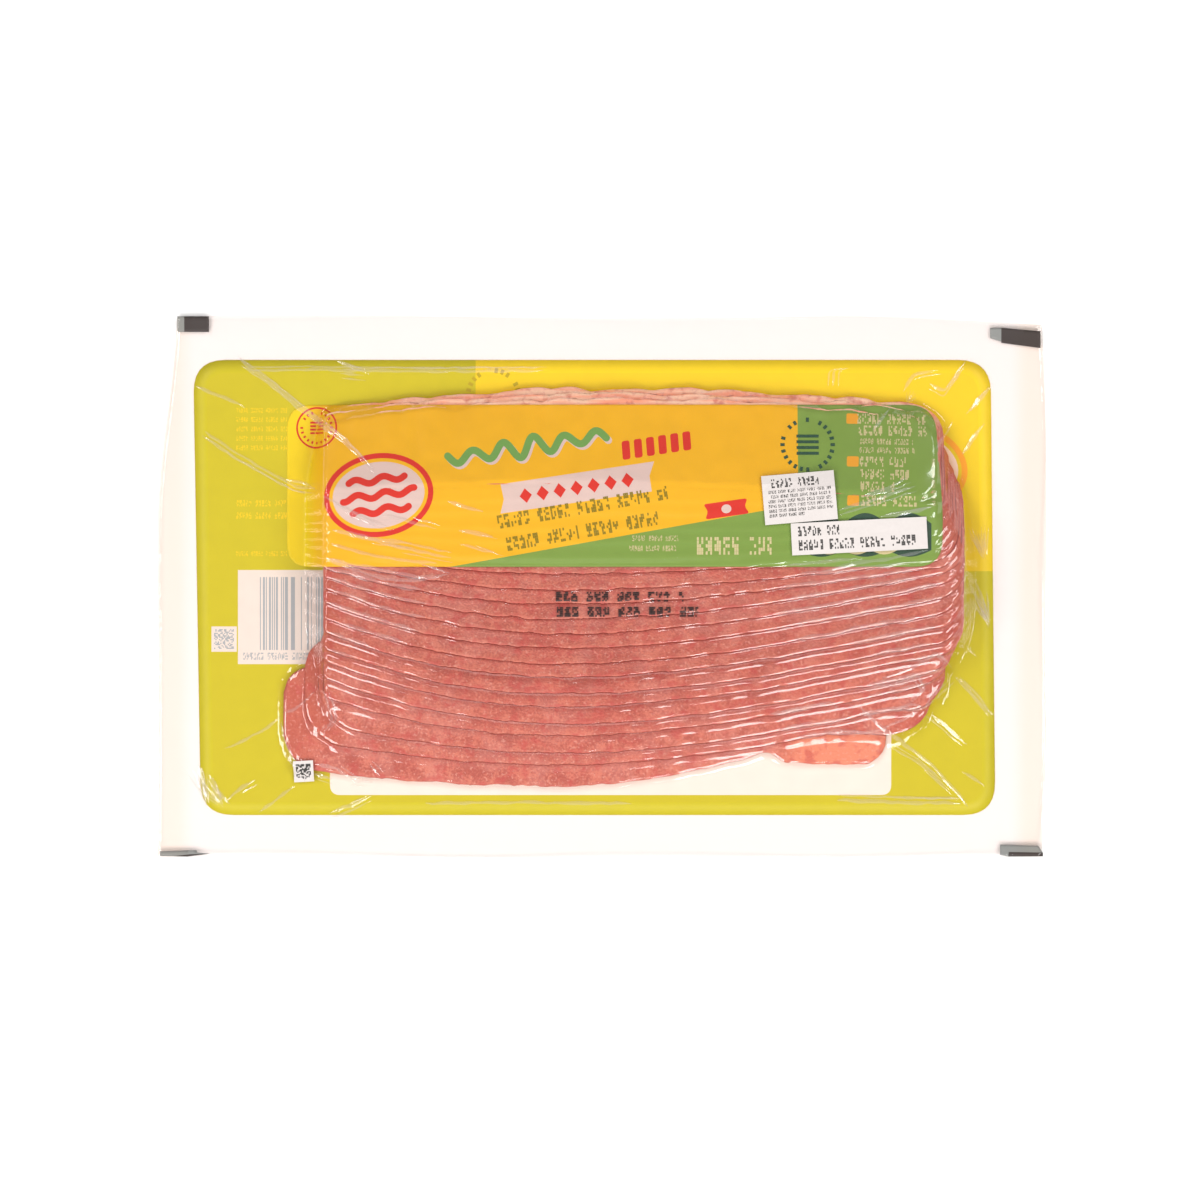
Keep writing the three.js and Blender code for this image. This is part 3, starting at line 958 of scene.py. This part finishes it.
yellow_box = {**PANEL, "left": YELLOW_FROM, "bottom": YELLOW_LOWEST}
inner_yellow_box = {**inner, "left": YELLOW_FROM, "bottom": YELLOW_LOWEST}
back_badge = {"centre": (103, 40.8), "turn": 172}
back_fields = [
    (panel_part(PANEL, [PANEL["round"]] * 4), lime_band),
    (panel_part(yellow_box, [0, 0, PANEL["round"], 0]), yellow_band),
    (panel_part(inner, [7] * 4), lime_ink),
    (panel_part(inner_yellow_box, [0, 0, 7, 0]), yellow_ink),
    (rounded(rectangle(-92.5, 98.3, -70.7, -30), [3.5] * 4), white_ink),
    (rectangle(-123.8, -90, -26.2, 5.8), code_field_ink),
    (rectangle(-132.8, -124.2, -22.0, -13.4), code_field_ink),
]
for wide, high, ink in ((21.4, 15.5, orange_ink), (19.4, 13.6, yellow_ink), (18.2, 12.4, pink_ink)):
    back_fields.append((turned(oval(wide, high), back_badge["centre"], back_badge["turn"]), ink))
back_print = printed_sheet("back_print", back_fields, level, BACK_PRINT)
belongs(back_print)

BAR_MODULE = 0.34
bars = cells(84, 1, (BAR_MODULE, 24.8), (BAR_MODULE, 24.8), 0.42, 5)
bar_code = marks("bar_code", rows_of_cells, bars, grey_ink, (-118.7, 3.4), 0, level, BACK_PRINT)
belongs(bar_code)
bar_row = small_print(
    "strokes_under_bars", (-122, -22.3), 32, 2.4, 0, grey_ink, level, BACK_PRINT, seed=8, word=7
)
belongs(bar_row)

SQUARE = (0.42, 0.42)
squares = cells(16, 16, SQUARE, SQUARE, 0.5, 12)
back_code = marks("back_code", rows_of_cells, squares, grey_ink, (-131.9, -14.3), 0, level, BACK_PRINT)
belongs(back_code)

back_rows = [(60.9, 1.7), (57.8, 1.7), (54.6, 1.7), (51.4, 1.7), (48.2, 1.7)]
back_rows += [(29.6, 2.2), (25.4, 2.2), (12.2, 1.7)]
for number, (top, high) in enumerate(back_rows, 1):
    row = small_print(
        f"back_row_{number}", (-124.4, top), 17.3, high, 0, yellow_ink, level, BACK_PRINT, seed=number
    )
    belongs(row)

dashes = ring(26, 8.6, (1.7, 1.1), 0.85, 3)
back_stamp = marks("back_stamp", ring_of_marks, dashes, olive_ink, (-37, 65), 0, level, BACK_PRINT)
belongs(back_stamp)


# Front label.
# Yellow and green fields printed inside the front film and drawn over the stack with it. The ink
# lets about a tenth of the light through, so the slices and the lime panel tint it.
label_yellow = inked_film("translucent_yellow_ink", "#FFC70E", 0.9, over_panel="#FFE410")
label_green = inked_film("translucent_green_ink", "#8BB14C", 0.86)
label_red = inked_film("red_label_ink", "#E5301F", 0.93)
label_pink = inked_film("pale_pink_label_ink", "#F3DCD3", 0.85)
label_headline = inked_film("mid_green_label_ink", "#7DB35A", 0.9)
label_dark = inked_film("dark_green_label_ink", "#2C5A45", 0.85)
label_cream = inked_film("cream_label_ink", "#EFE3AE", 0.8)
label_olive = inked_film("olive_label_ink", "#9C8A14", 0.85)
label_orange = inked_film("orange_label_ink", "#F9B32B", 0.9)

GREEN_FROM = 66.3
GREEN_CORNER = 27.9
GREEN_TIP = -51.4
HEADLINE_TURN = 8.7
label_end = [(LABEL["right"] - 0.4, LABEL["bottom"]), (LABEL["right"], 25), (112.9, LABEL["top"])]
label_outline = rounded(
    [(LABEL["left"], LABEL["bottom"]), *label_end, (LABEL["left"], LABEL["top"])], [8, 9, 5, 9, 8]
)
green_outline = rounded(
    [
        (GREEN_TIP, LABEL["bottom"]),
        *label_end,
        (GREEN_FROM, LABEL["top"]),
        (GREEN_FROM, GREEN_CORNER),
    ],
    [0, 9, 5, 9, 0, 0],
)
front_fields = [(label_outline, label_yellow), (green_outline, label_green)]


def on_label(outline, centre, degrees, ink):
    """Adds a field, drawn about the origin, turned and moved to its place on the label."""
    front_fields.append((turned(outline, centre, degrees), ink))


BADGE = {"centre": (-75.5, 31.1), "turn": 8}
for wide, high, ink in ((18.6, 14.2, label_red), (16.8, 12.4, label_yellow), (15.6, 11.2, label_pink)):
    on_label(oval(wide, high), BADGE["centre"], BADGE["turn"], ink)
for rise, half in ((5.2, 9.5), (0, 12.2), (-5.2, 9.5)):
    wave = [(x, rise + 0.9 * math.sin(x / 1.5)) for x in np.linspace(-half, half, 40)]
    on_label(stroke(wave, 2.3), BADGE["centre"], BADGE["turn"], label_red)

STAMP = (-96.9, 54.1)
on_label(oval(7.1, 7.1), STAMP, 0, label_red)
on_label(oval(6.5, 6.5), STAMP, 0, label_yellow)

HEADLINE = (-25.4, 47.4)
scribble = [
    (x, 3.4 * math.sin(x * 2 * math.pi / 10.5) * (0.75 + 0.25 * math.cos(x / 6)))
    for x in np.linspace(-27, 27, 120)
]
for shift, ink in (((0.7, -0.8), label_pink), ((0, 0), label_headline)):
    middle_of_wave = (HEADLINE[0] + shift[0], HEADLINE[1] + shift[1])
    on_label(stroke(scribble, 2.5), middle_of_wave, HEADLINE_TURN, ink)

RED_BARS = (18.4, 47.9)
for i in range(6):
    along = -10.4 + 4.16 * i
    bar = rounded(
        [(along - 1.6, -3.2), (along + 1.1, -3.2), (along + 1.6, 3.2), (along - 1.1, 3.2)], [0.9] * 4
    )
    on_label(bar, RED_BARS, HEADLINE_TURN, label_red)

banner = [(-34.3, 24.8), (16.8, 32.3), (16.0, 37.6), (17.6, 42.5), (-34.3, 34.7), (-33.2, 29.6)]
front_fields.append((banner, label_pink))
DIAMONDS = (-8.6, 33.5)
for i in range(7):
    along = 5.8 * (i - 3)
    diamond = [(along - 2.1, 0), (along, -2.5), (along + 2.1, 0), (along, 2.5)]
    on_label(diamond, DIAMONDS, HEADLINE_TURN, label_red)

RIBBON = (42, 26.4)
ribbon = rounded([(-7.6, -2.6), (7.6, -2.6), (6.2, 0), (7.6, 2.6), (-7.6, 2.6), (-6.2, 0)], [1.2] * 6)
on_label(ribbon, RIBBON, 8, label_red)
on_label(oval(1.7, 1.5, 20), RIBBON, 8, label_pink)


def scalloped(left, right, bottom, top, deep, high):
    """A long field with three round bumps on its lower side and three on its upper side."""
    x = np.linspace(left, right, 61)
    bumps = np.abs(np.sin(np.linspace(0, 3 * math.pi, 61)))
    below = np.stack([x, bottom - deep * bumps], 1)
    above = np.stack([x, top + high * bumps], 1)
    return list(below) + list(above[::-1])


front_fields.append((scalloped(66.5, 111.3, 12.4, 21.4, 2.2, 3.6), label_dark))
front_fields.append((scalloped(72, 100, 12.6, 20, 1.6, 1.0), label_cream))

for top in (57.1, 42.5, 29.2):
    bullet = rounded([(-2.1, -1.6), (1.9, -1.9), (2.2, 1.6), (-1.8, 1.9)], [0.6] * 4)
    on_label(bullet, (84.8, top), 3, label_orange)

film_faces = grid_faces(*film_shape)
film_height = height_over(BVHTree.FromPolygons([tuple(p) for p in film_points], film_faces))
front_label = printed_sheet("front_label", front_fields, film_height, FRONT_PRINT, 0.8)
belongs(front_label)

# Marks on the label lie just over its ink.
ON_LABEL = FRONT_PRINT + SHEET / 2 + 0.05
# Rows of small print on the label: its ink, left end, top, length, height and slope.
label_rows = [
    (label_olive, -35.7, 24.1, 58, 4.6, 10),
    (label_olive, -32.6, 16.6, 53, 4.6, 10),
    (label_cream, 32.0, 16.9, 25, 6, 0),
    (label_cream, 10.2, 17.4, 15.6, 1.9, 0),
    (label_cream, 9.2, 14.0, 16.7, 1.9, 0),
    (label_cream, 86.6, 58.8, 23, 3.4, -1),
    (label_cream, 87.0, 54.8, 23, 3.4, -1),
    (label_cream, 87.2, 50.4, 18, 2.0, -1),
    (label_cream, 87.2, 47.4, 18.5, 2.0, -1),
    (label_cream, 87.2, 44.2, 15.6, 3.4, -1),
    (label_cream, 87.4, 39.9, 16.4, 3.4, -1),
    (label_cream, 87.4, 35.7, 11.9, 3.4, -1),
    (label_cream, 87.6, 31.0, 18.8, 3.6, -1),
    (label_cream, 112.8, 43.4, 16, 1.2, -90),
]
for number, (ink, left, top, length, high, slope) in enumerate(label_rows, 1):
    name, corner = f"label_row_{number:02d}", (left, top)
    row = small_print(name, corner, length, high, slope, ink, film_height, ON_LABEL, number + 30)
    belongs(row)

# Round stamps on the label: a ring of dashes and a few bars in it.
for name, middle, radius, count, dash, ink in (
    ("red_stamp", STAMP, 5.2, 20, 0.9, label_red),
    ("green_stamp", (69.6, 48.2), 8.5, 24, 1.45, label_dark),
):
    dashes = ring(count, radius, (dash, 0.7 * dash), 0.86, count)
    stamp = marks(name, ring_of_marks, dashes, ink, middle, 0, film_height, ON_LABEL)
    belongs(stamp)
    pitch, size = (0.11 * radius, 0.23 * radius), (0.112 * radius, 0.12 * radius)
    stripes = cells(8, 4, pitch, size, 0.97, count)
    corner = (middle[0] - 0.44 * radius, middle[1] + 0.46 * radius)
    striped = marks(name + "_bars", rows_of_cells, stripes, ink, corner, 0, film_height, ON_LABEL)
    belongs(striped)


# Dot code.
# Two rows of black ink dots on the bare part of the front film, towards the pack's lower side.
# They are set in blocks like figures but spell nothing.
jet_ink = inked_film("black_jetted_ink", "#2E1513", 1)
DOT_PITCH = (0.52, 0.68)
DOT = (0.5, 0.6)
for number, (left, top, length) in enumerate(((-15.6, -1.6, 43), (-15.3, -6.7, 47.6)), 1):
    columns = round(length / DOT_PITCH[0])
    dots = cells(columns, 5, DOT_PITCH, DOT, 0.68, 60 + number, 0.05, group=4, word=4)
    dot_row = marks(
        f"dot_row_{number}", rows_of_cells, dots, jet_ink, (left, top), 0, film_height, FRONT_PRINT
    )
    belongs(dot_row)


# Eye marks.
# Dark register marks at the corners of the margin, each with a lighter grey end, printed between
# the two films where they are sealed.
mark_dark = inked_film("dark_register_ink", "#3A3230", 1)
mark_grey = inked_film("grey_register_ink", "#8C908E", 1)
# Each mark: its outline, and the outline of the part where both webs' inks lie over each other.
EYE_MARKS = [
    ("top_left", rectangle(-144.3, -133.6, 86.7, 92.0), rectangle(-142.0, -133.6, 86.7, 92.0)),
    (
        "top_right",
        [(131.9, 84.6), (135.7, 83.4), (149.0, 81.2), (149.0, 86.9), (135.7, 88.1), (131.9, 88.1)],
        [(135.7, 83.0), (149.0, 81.2), (149.0, 86.9), (135.7, 88.1)],
    ),
    (
        "bottom_left",
        [
            (-150.2, -91.4), (-141, -91.6), (-133.2, -90.6),
            (-137.6, -90.2), (-137.8, -89.4), (-150.2, -89.8),
        ],
        [(-146, -91.5), (-141, -91.6), (-133.2, -90.6), (-140, -90.8)],
    ),
    (
        "bottom_right",
        [(135.2, -91.0), (138, -91.6), (149.8, -91.5), (149.8, -90.3), (148.2, -87.9), (135.2, -87.5)],
        [(138, -91.6), (149.8, -91.5), (149.8, -90.2), (138.2, -90.0)],
    ),
]


def margin_middle(x, y):
    """Half-way between the films, where they are sealed together."""
    return curl(x, y) + FILM / 2


for name, mark_outline, double_part in EYE_MARKS:
    fields = [(mark_outline, mark_grey), (double_part, mark_dark)]
    eye_mark = printed_sheet(name + "_eye_mark", fields, margin_middle, 0, 1.0)
    belongs(eye_mark)


# Folds in the film.
# Sharp pleats where the film is gathered: long ones run from the corners to the stack, and fans
# of short ones cross its ends. Each is a thin closed ridge of film, tapered to both ends.
# Courses of the long pleats, each a few points from end to end.
LONG_FOLDS = [
    [(-123.1, 77.0), (-112, 69.2), (-101, 60.2), (-87.4, 50), (-77.2, 39.8)],
    [(-138, 68.2), (-130.8, 65.4), (-121.4, 61.2)], [(-90.1, 76.9), (-80.3, 73.6)],
    [(-119, 73.6), (-100, 74.0), (-80.3, 73.6), (-58.5, 73.4), (-20, 73.6)], [(-89, 72.6), (-81, 72.0)],
    [(-135, 52.7), (-124.8, 45.9), (-113.6, 39.1), (-104, 34.2), (-97.3, 33.3)],
    [(-107.5, 36.6), (-101, 35.4), (-97.3, 33.3)],
    [(-94.6, 31), (-88, 27.2), (-79, 22.6), (-71.9, 20.4)], [(-74.4, 24.4), (-65, 22.2), (-56, 19.6)],
    [(-91, 19.3), (-78, 16.4), (-64.3, 14.8)], [(-84.6, 17.7), (-68, 13.4), (-51, 9.8)],
    [(-91.6, 14.8), (-79.5, 11), (-68, 9.2), (-56, 7.9)], [(-52.2, 28.8), (-46, 27), (-40.2, 25.6)],
    [(-48.4, 19), (-42, 18.2), (-37, 16.7)], [(-47.8, 14.5), (-41, 12.6), (-35, 11)],
    [(-93.5, 9.8), (-82, 5.3), (-74, 3.2), (-66, 2.2), (-52, 4.2)], [(-60, 7.5), (-51.5, 4.6)],
    [(-94.4, -35.8), (-92.6, -41), (-91.4, -45.8), (-94.6, -49.4)],
    [(-128.2, -55), (-120, -51.2), (-112.4, -47), (-109.5, -43.9)],
    [(-108.6, -42.6), (-104, -41.6), (-100.8, -38.4), (-97.6, -35.6)],
    [(-127.4, -72.6), (-123, -68.4), (-118, -65.6)], [(-116.4, -76.6), (-110, -71.6), (-104.4, -67.6)],
    [(-97.4, -59.8), (-90, -61.8), (-84.6, -65.6), (-78, -66.2)], [(-98, -63.4), (-92, -65.2)],
    [(-92.6, -76.8), (-84, -73.6), (-78.4, -70.8)], [(-137, -60.4), (-135.2, -68), (-134.4, -73.6)],
    [(-133.6, -63.6), (-131, -69.4), (-126.6, -73.6)], [(-79, -60.4), (-75.4, -64)],
    [(-109.4, -46.4), (-107.6, -53.2), (-105, -58.4), (-102.2, -60.6)],
    [(75, 5.2), (86, 8.2), (97, 9.6), (110, 12.4)], [(62.5, 7.2), (74, 8.4), (86, 9.7)],
    [(80, 26), (92, 29.6), (105.8, 34.2)], [(94, 24), (103, 25), (111, 27)],
    [(88, 30.4), (97, 33.6), (103, 37)], [(91.8, 53.3), (97.7, 60.6)],
    [(113, 46.6), (117.4, 53), (119, 56.2)], [(111.4, 69.2), (116.4, 66.4), (123.4, 76.4)],
    [(102.6, 66.4), (105.2, 71.6), (108, 72.8), (114, 73.6)], [(122.6, 45.2), (126, 50.2), (130, 55.5)],
    [(125, 60), (131.4, 68)], [(78.4, 68.4), (78.8, 73.6), (81.6, 74.2)],
    [(95, -31), (106, -26.8), (113.4, -22.4), (118.6, -27.4)],
    [(88.4, -35), (99, -33.4), (106.8, -29.6), (109.6, -34.4), (105, -38)],
    [(89, -43.6), (98, -42), (106, -39.4), (109.6, -41.6), (112, -36.8), (118.4, -31.4)],
    [(69.6, -50), (80, -48.4), (89, -49.4), (96, -47.8), (103, -44.4), (112.6, -38.8)],
    [(60.6, -42.4), (78, -38.8), (80, -41.6)],
    [(87.6, -40.6), (94.4, -47.6), (100, -51.6), (112, -60.2), (124.4, -74.4)],
    [(98.6, -54.6), (109, -60.6), (118, -69)], [(120, -30.6), (126, -37), (131.4, -43.8)],
    [(123.6, -19.6), (126, -22.8)], [(122.4, -62.6), (130, -67.6)],
    [(112, -43.4), (117, -47.4), (124, -53.6)], [(80, -72.4), (100, -73.2), (122, -73.4)],
    [(124.4, 1.8), (128, -5), (131.4, -13.6)], [(126.6, 2.6), (130, -6), (131.6, -11)],
    [(-60, -73.6), (-30, -73.2), (10, -73.6)],
]
FOLD_STEP = 0.9
BESIDE = 1.7
# Ridges where the film bridges the slices' lips: the slice, and where they start and end.
LIP_FOLDS = [
    (14, -93, -60), (13, -93, -61), (12, -92, -58), (11, -92, -60), (10, -93, -62),
    (9, -88, -66), (8, -92, -79), (7, -93, -84), (14, 66, 106), (13, 60, 110), (12, 62, 110),
    (11, 60, 114), (10, 64, 115), (9, 65, 107), (8, 84, 114), (7, 92, 113), (6, 96, 115),
    (5, 90, 116), (4, 57, 79), (4, 90, 112), (3, 60, 84), (3, 87, 108), (2, 66, 100),
]
# Fans of fine pleats in the corners of the seal: apex, direction, spread and length.
FANS = [
    ((-133.6, -74.6), 108, 26, 15, 9),
    ((-128.2, -75.2), 128, 40, 12, 9),
    ((132.2, -14.0), 112, 30, 14, 11),
    ((130.4, 8.6), 104, 34, 13, 10),
    ((103.4, 62.2), 60, 50, 5, 5),
]


def fold_section(course, rise, half, number):
    """Rings of four points along one fold: crest, right foot, bottom and left foot."""
    course = np.array(course, float)
    reach = np.concatenate([[0], np.cumsum(np.hypot(*np.diff(course, axis=0).T))])
    along = np.linspace(0, reach[-1], max(4, round(reach[-1] / FOLD_STEP)))
    middle = np.stack([np.interp(along, reach, course[:, 0]), np.interp(along, reach, course[:, 1])], 1)
    for _ in range(2):
        middle[1:-1] = (middle[:-2] + middle[1:-1] * 2 + middle[2:]) / 4
    side = ahead_and_aside(middle)[1]
    middle = middle + side * 0.25 * unevenness(along, 3.0 * number, 2.6, 41)[:, None]
    taper = smooth(along / 3.0) * smooth((reach[-1] - along) / 5.0)
    wobble = 1 + 0.4 * unevenness(along, 5.0 * number, 3.4, 42)
    wide = side * (half * (0.3 + 0.7 * taper) * wobble)[:, None]
    right, left = middle - wide, middle + wide
    foot = film_height(middle[:, 0], middle[:, 1])
    crest = np.column_stack([middle, foot + rise * taper * wobble])
    right = np.column_stack([right, film_height(right[:, 0], right[:, 1]) - 0.04])
    left = np.column_stack([left, film_height(left[:, 0], left[:, 1]) - 0.04])
    bottom = np.column_stack([middle, foot - 0.12])
    return np.stack([crest, right, bottom, left], 1)


# Creased film: the same clear plastic with a share of white mixed in, a painted highlight that makes
# each fold a pale line under any lamp and lightens what its layers darken. The coat on the white gives
# real glints.
creased_film, tree = new_material("film_with_painted_glint")
creased_clear = add_node(tree, "ShaderNodeBsdfTransparent", {"Color": linear("#FFFEFD")})
painted_glint_look = {"Base Color": linear("#FFFFFF"), "Roughness": 0.12, "IOR": 2.4}
painted_glint_look.update({"Specular IOR Level": 1.0, "Coat Weight": 1.0, "Coat IOR": 2.2, "Coat Roughness": 0.1})
painted_glint_white = add_node(tree, "ShaderNodeBsdfPrincipled", painted_glint_look)
# Painted highlight: about a sixth of each fold's face is glossy white.
finish_material(tree, both_shaders(tree, 0.16, creased_clear, painted_glint_white))
# A pleat's underside lies on the film and clings to it, so it reflects nothing.
clinging_film, tree = new_material("clinging_clear_film")
clinging_clear = add_node(tree, "ShaderNodeBsdfTransparent", {"Color": linear("#FFFEFD")})
finish_material(tree, clinging_clear.outputs["BSDF"])

# Every pleat: its course, how high and how wide to each side it stands. Up to two smaller pleats
# run beside a long one, a little way off.
draw = np.random.default_rng(77)
pleats = []
for course in LONG_FOLDS:
    pleats.append((course, draw.uniform(0.26, 0.42), draw.uniform(0.45, 0.7)))
    for _ in range(draw.integers(0, 3)):
        turn_of_shift = draw.uniform(0, 2 * math.pi)
        aside = BESIDE * math.cos(turn_of_shift)
        ahead = BESIDE * math.sin(turn_of_shift)
        part = [(x + aside, y + ahead) for x, y in course[draw.integers(0, max(1, len(course) - 1)) :]]
        if len(part) > 1:
            pleats.append((part, draw.uniform(0.15, 0.25), draw.uniform(0.25, 0.4)))
for apex, direction, spread, length, count in FANS:
    for i in range(count):
        angle = math.radians(direction + spread * (i / (count - 1) - 0.5) + draw.uniform(-2, 2))
        start, end = draw.uniform(0.05, 0.3) * length, draw.uniform(0.75, 1.0) * length
        ray = [(apex[0] + r * math.cos(angle), apex[1] + r * math.sin(angle)) for r in (start, end)]
        pleats.append((ray, draw.uniform(0.12, 0.2), draw.uniform(0.25, 0.4)))
for k, start, end in LIP_FOLDS:
    along = np.linspace(start, end, max(3, round((end - start) / 4)))
    lip = list(zip(along, lower_edge(k, along) + 0.4))
    pleats.append((lip, draw.uniform(0.22, 0.32), draw.uniform(0.55, 0.8)))

fold_points, fold_faces = [], []
for number, (course, rise, half) in enumerate(pleats):
    rings = fold_section(course, rise, half, number)
    first = len(fold_points)
    fold_points += list(rings.reshape(-1, 3))
    fold_faces.append((first, first + 3, first + 2, first + 1))
    for i in range(len(rings) - 1):
        a, b = first + 4 * i, first + 4 * i + 4
        for j in range(4):
            following = (j + 1) % 4
            fold_faces.append((a + j, a + following, b + following, b + j))
    last = first + 4 * (len(rings) - 1)
    fold_faces.append((last, last + 1, last + 2, last + 3))
film_folds = new_piece("film_folds", fold_points, fold_faces, creased_film, smooth=False)
film_folds.data.materials.append(clinging_film)
# The ends and the two upper sides of each ridge are creased film, and its two lower sides cling.
own_index = [0 if max(face) - min(face) == 3 or face[0] % 4 in (0, 3) else 1 for face in fold_faces]
film_folds.data.polygons.foreach_set("material_index", own_index)
belongs(film_folds)


# Paper stickers.
# Three matt white paper stickers. Their solids stay from the CAD and get a paper finish, and
# black marks that spell nothing lie on them.
sticker_paper, tree = new_material("matt_white_sticker_paper")
place = object_place(tree)
fibre = noise_at(tree, place, 700.0)
paper_tone = add_node(tree, "ShaderNodeValToRGB", {"Fac": fibre})
paper_tone.color_ramp.elements[0].color = linear("#CDC5C1")
paper_tone.color_ramp.elements[1].color = linear("#D6CECA")
paper_bump = bumped(tree, fibre, 0.1, 0.0001)
paper_look = {"Base Color": paper_tone.outputs["Color"], "Normal": paper_bump, "Roughness": 0.8}
paper = add_node(tree, "ShaderNodeBsdfPrincipled", paper_look)
finish_material(tree, paper.outputs["BSDF"])
sticker_ink = inked_film("black_sticker_ink", "#33302E", 1, 0.6)

STICKERS = {
    "date_sticker": {"middle": (66.7, 30.2), "wide": 24.6, "high": 16.6, "turn": 4.9},
    "storage_sticker": {"middle": (86.9, 17.2), "wide": 45.9, "high": 10.8, "turn": 2.9},
    "code_sticker": {"middle": (-101.4, -62.6), "wide": 6.8, "high": 7.2, "turn": 3.0},
}
# Rows on each sticker: left end and top from its middle, length, height and seed.
STICKER_ROWS = {
    "date_sticker": [
        (-9.1, 6.9, 17.6, 3.0, 71),
        (-10.3, 3.1, 21.2, 1.1, 72),
        (-9.6, 1.5, 20.2, 1.1, 73),
        (-10.6, -0.1, 21.4, 1.1, 74),
        (-10.6, -1.7, 21.6, 1.1, 75),
        (-10.6, -3.3, 21.8, 1.1, 76),
        (-10.6, -4.9, 12.0, 1.1, 77),
    ],
    "storage_sticker": [(-20.6, 4.2, 14.0, 3.3, 81), (-20.6, -0.4, 41.2, 3.5, 82)],
    "code_sticker": [],
}


def height_over_node(name):
    """Height of a CAD node's upper face."""
    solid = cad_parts[name]
    corners = [tuple(solid.matrix_world @ vertex.co / MM) for vertex in solid.data.vertices]
    faces = [tuple(face.vertices) for face in solid.data.polygons]
    return height_over(BVHTree.FromPolygons(corners, faces))


for name, sticker in STICKERS.items():
    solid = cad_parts[name]
    solid.data.materials.clear()
    solid.data.materials.append(sticker_paper)
    on_sticker = height_over_node(name)
    for number, (left, top, length, high, seed) in enumerate(STICKER_ROWS[name], 1):
        corner = turned([(left, top)], sticker["middle"], sticker["turn"])[0]
        row_name, slope = f"{name}_row_{number}", sticker["turn"]
        row = small_print(
            row_name, corner, length, high, slope, sticker_ink, on_sticker, 0.02, seed, depth=0.02
        )
        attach(row, "root")


# The code sticker's squares.
code = STICKERS["code_sticker"]
code_squares = cells(12, 12, SQUARE, SQUARE, 0.56, 19, 0.02)
corner = turned([(-2.55, 2.5)], code["middle"], code["turn"])[0]
on_code = height_over_node("code_sticker")
code_marks = marks(
    "code_squares", rows_of_cells, code_squares, sticker_ink, corner, code["turn"], on_code, 0.02
)
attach(code_marks, "root")
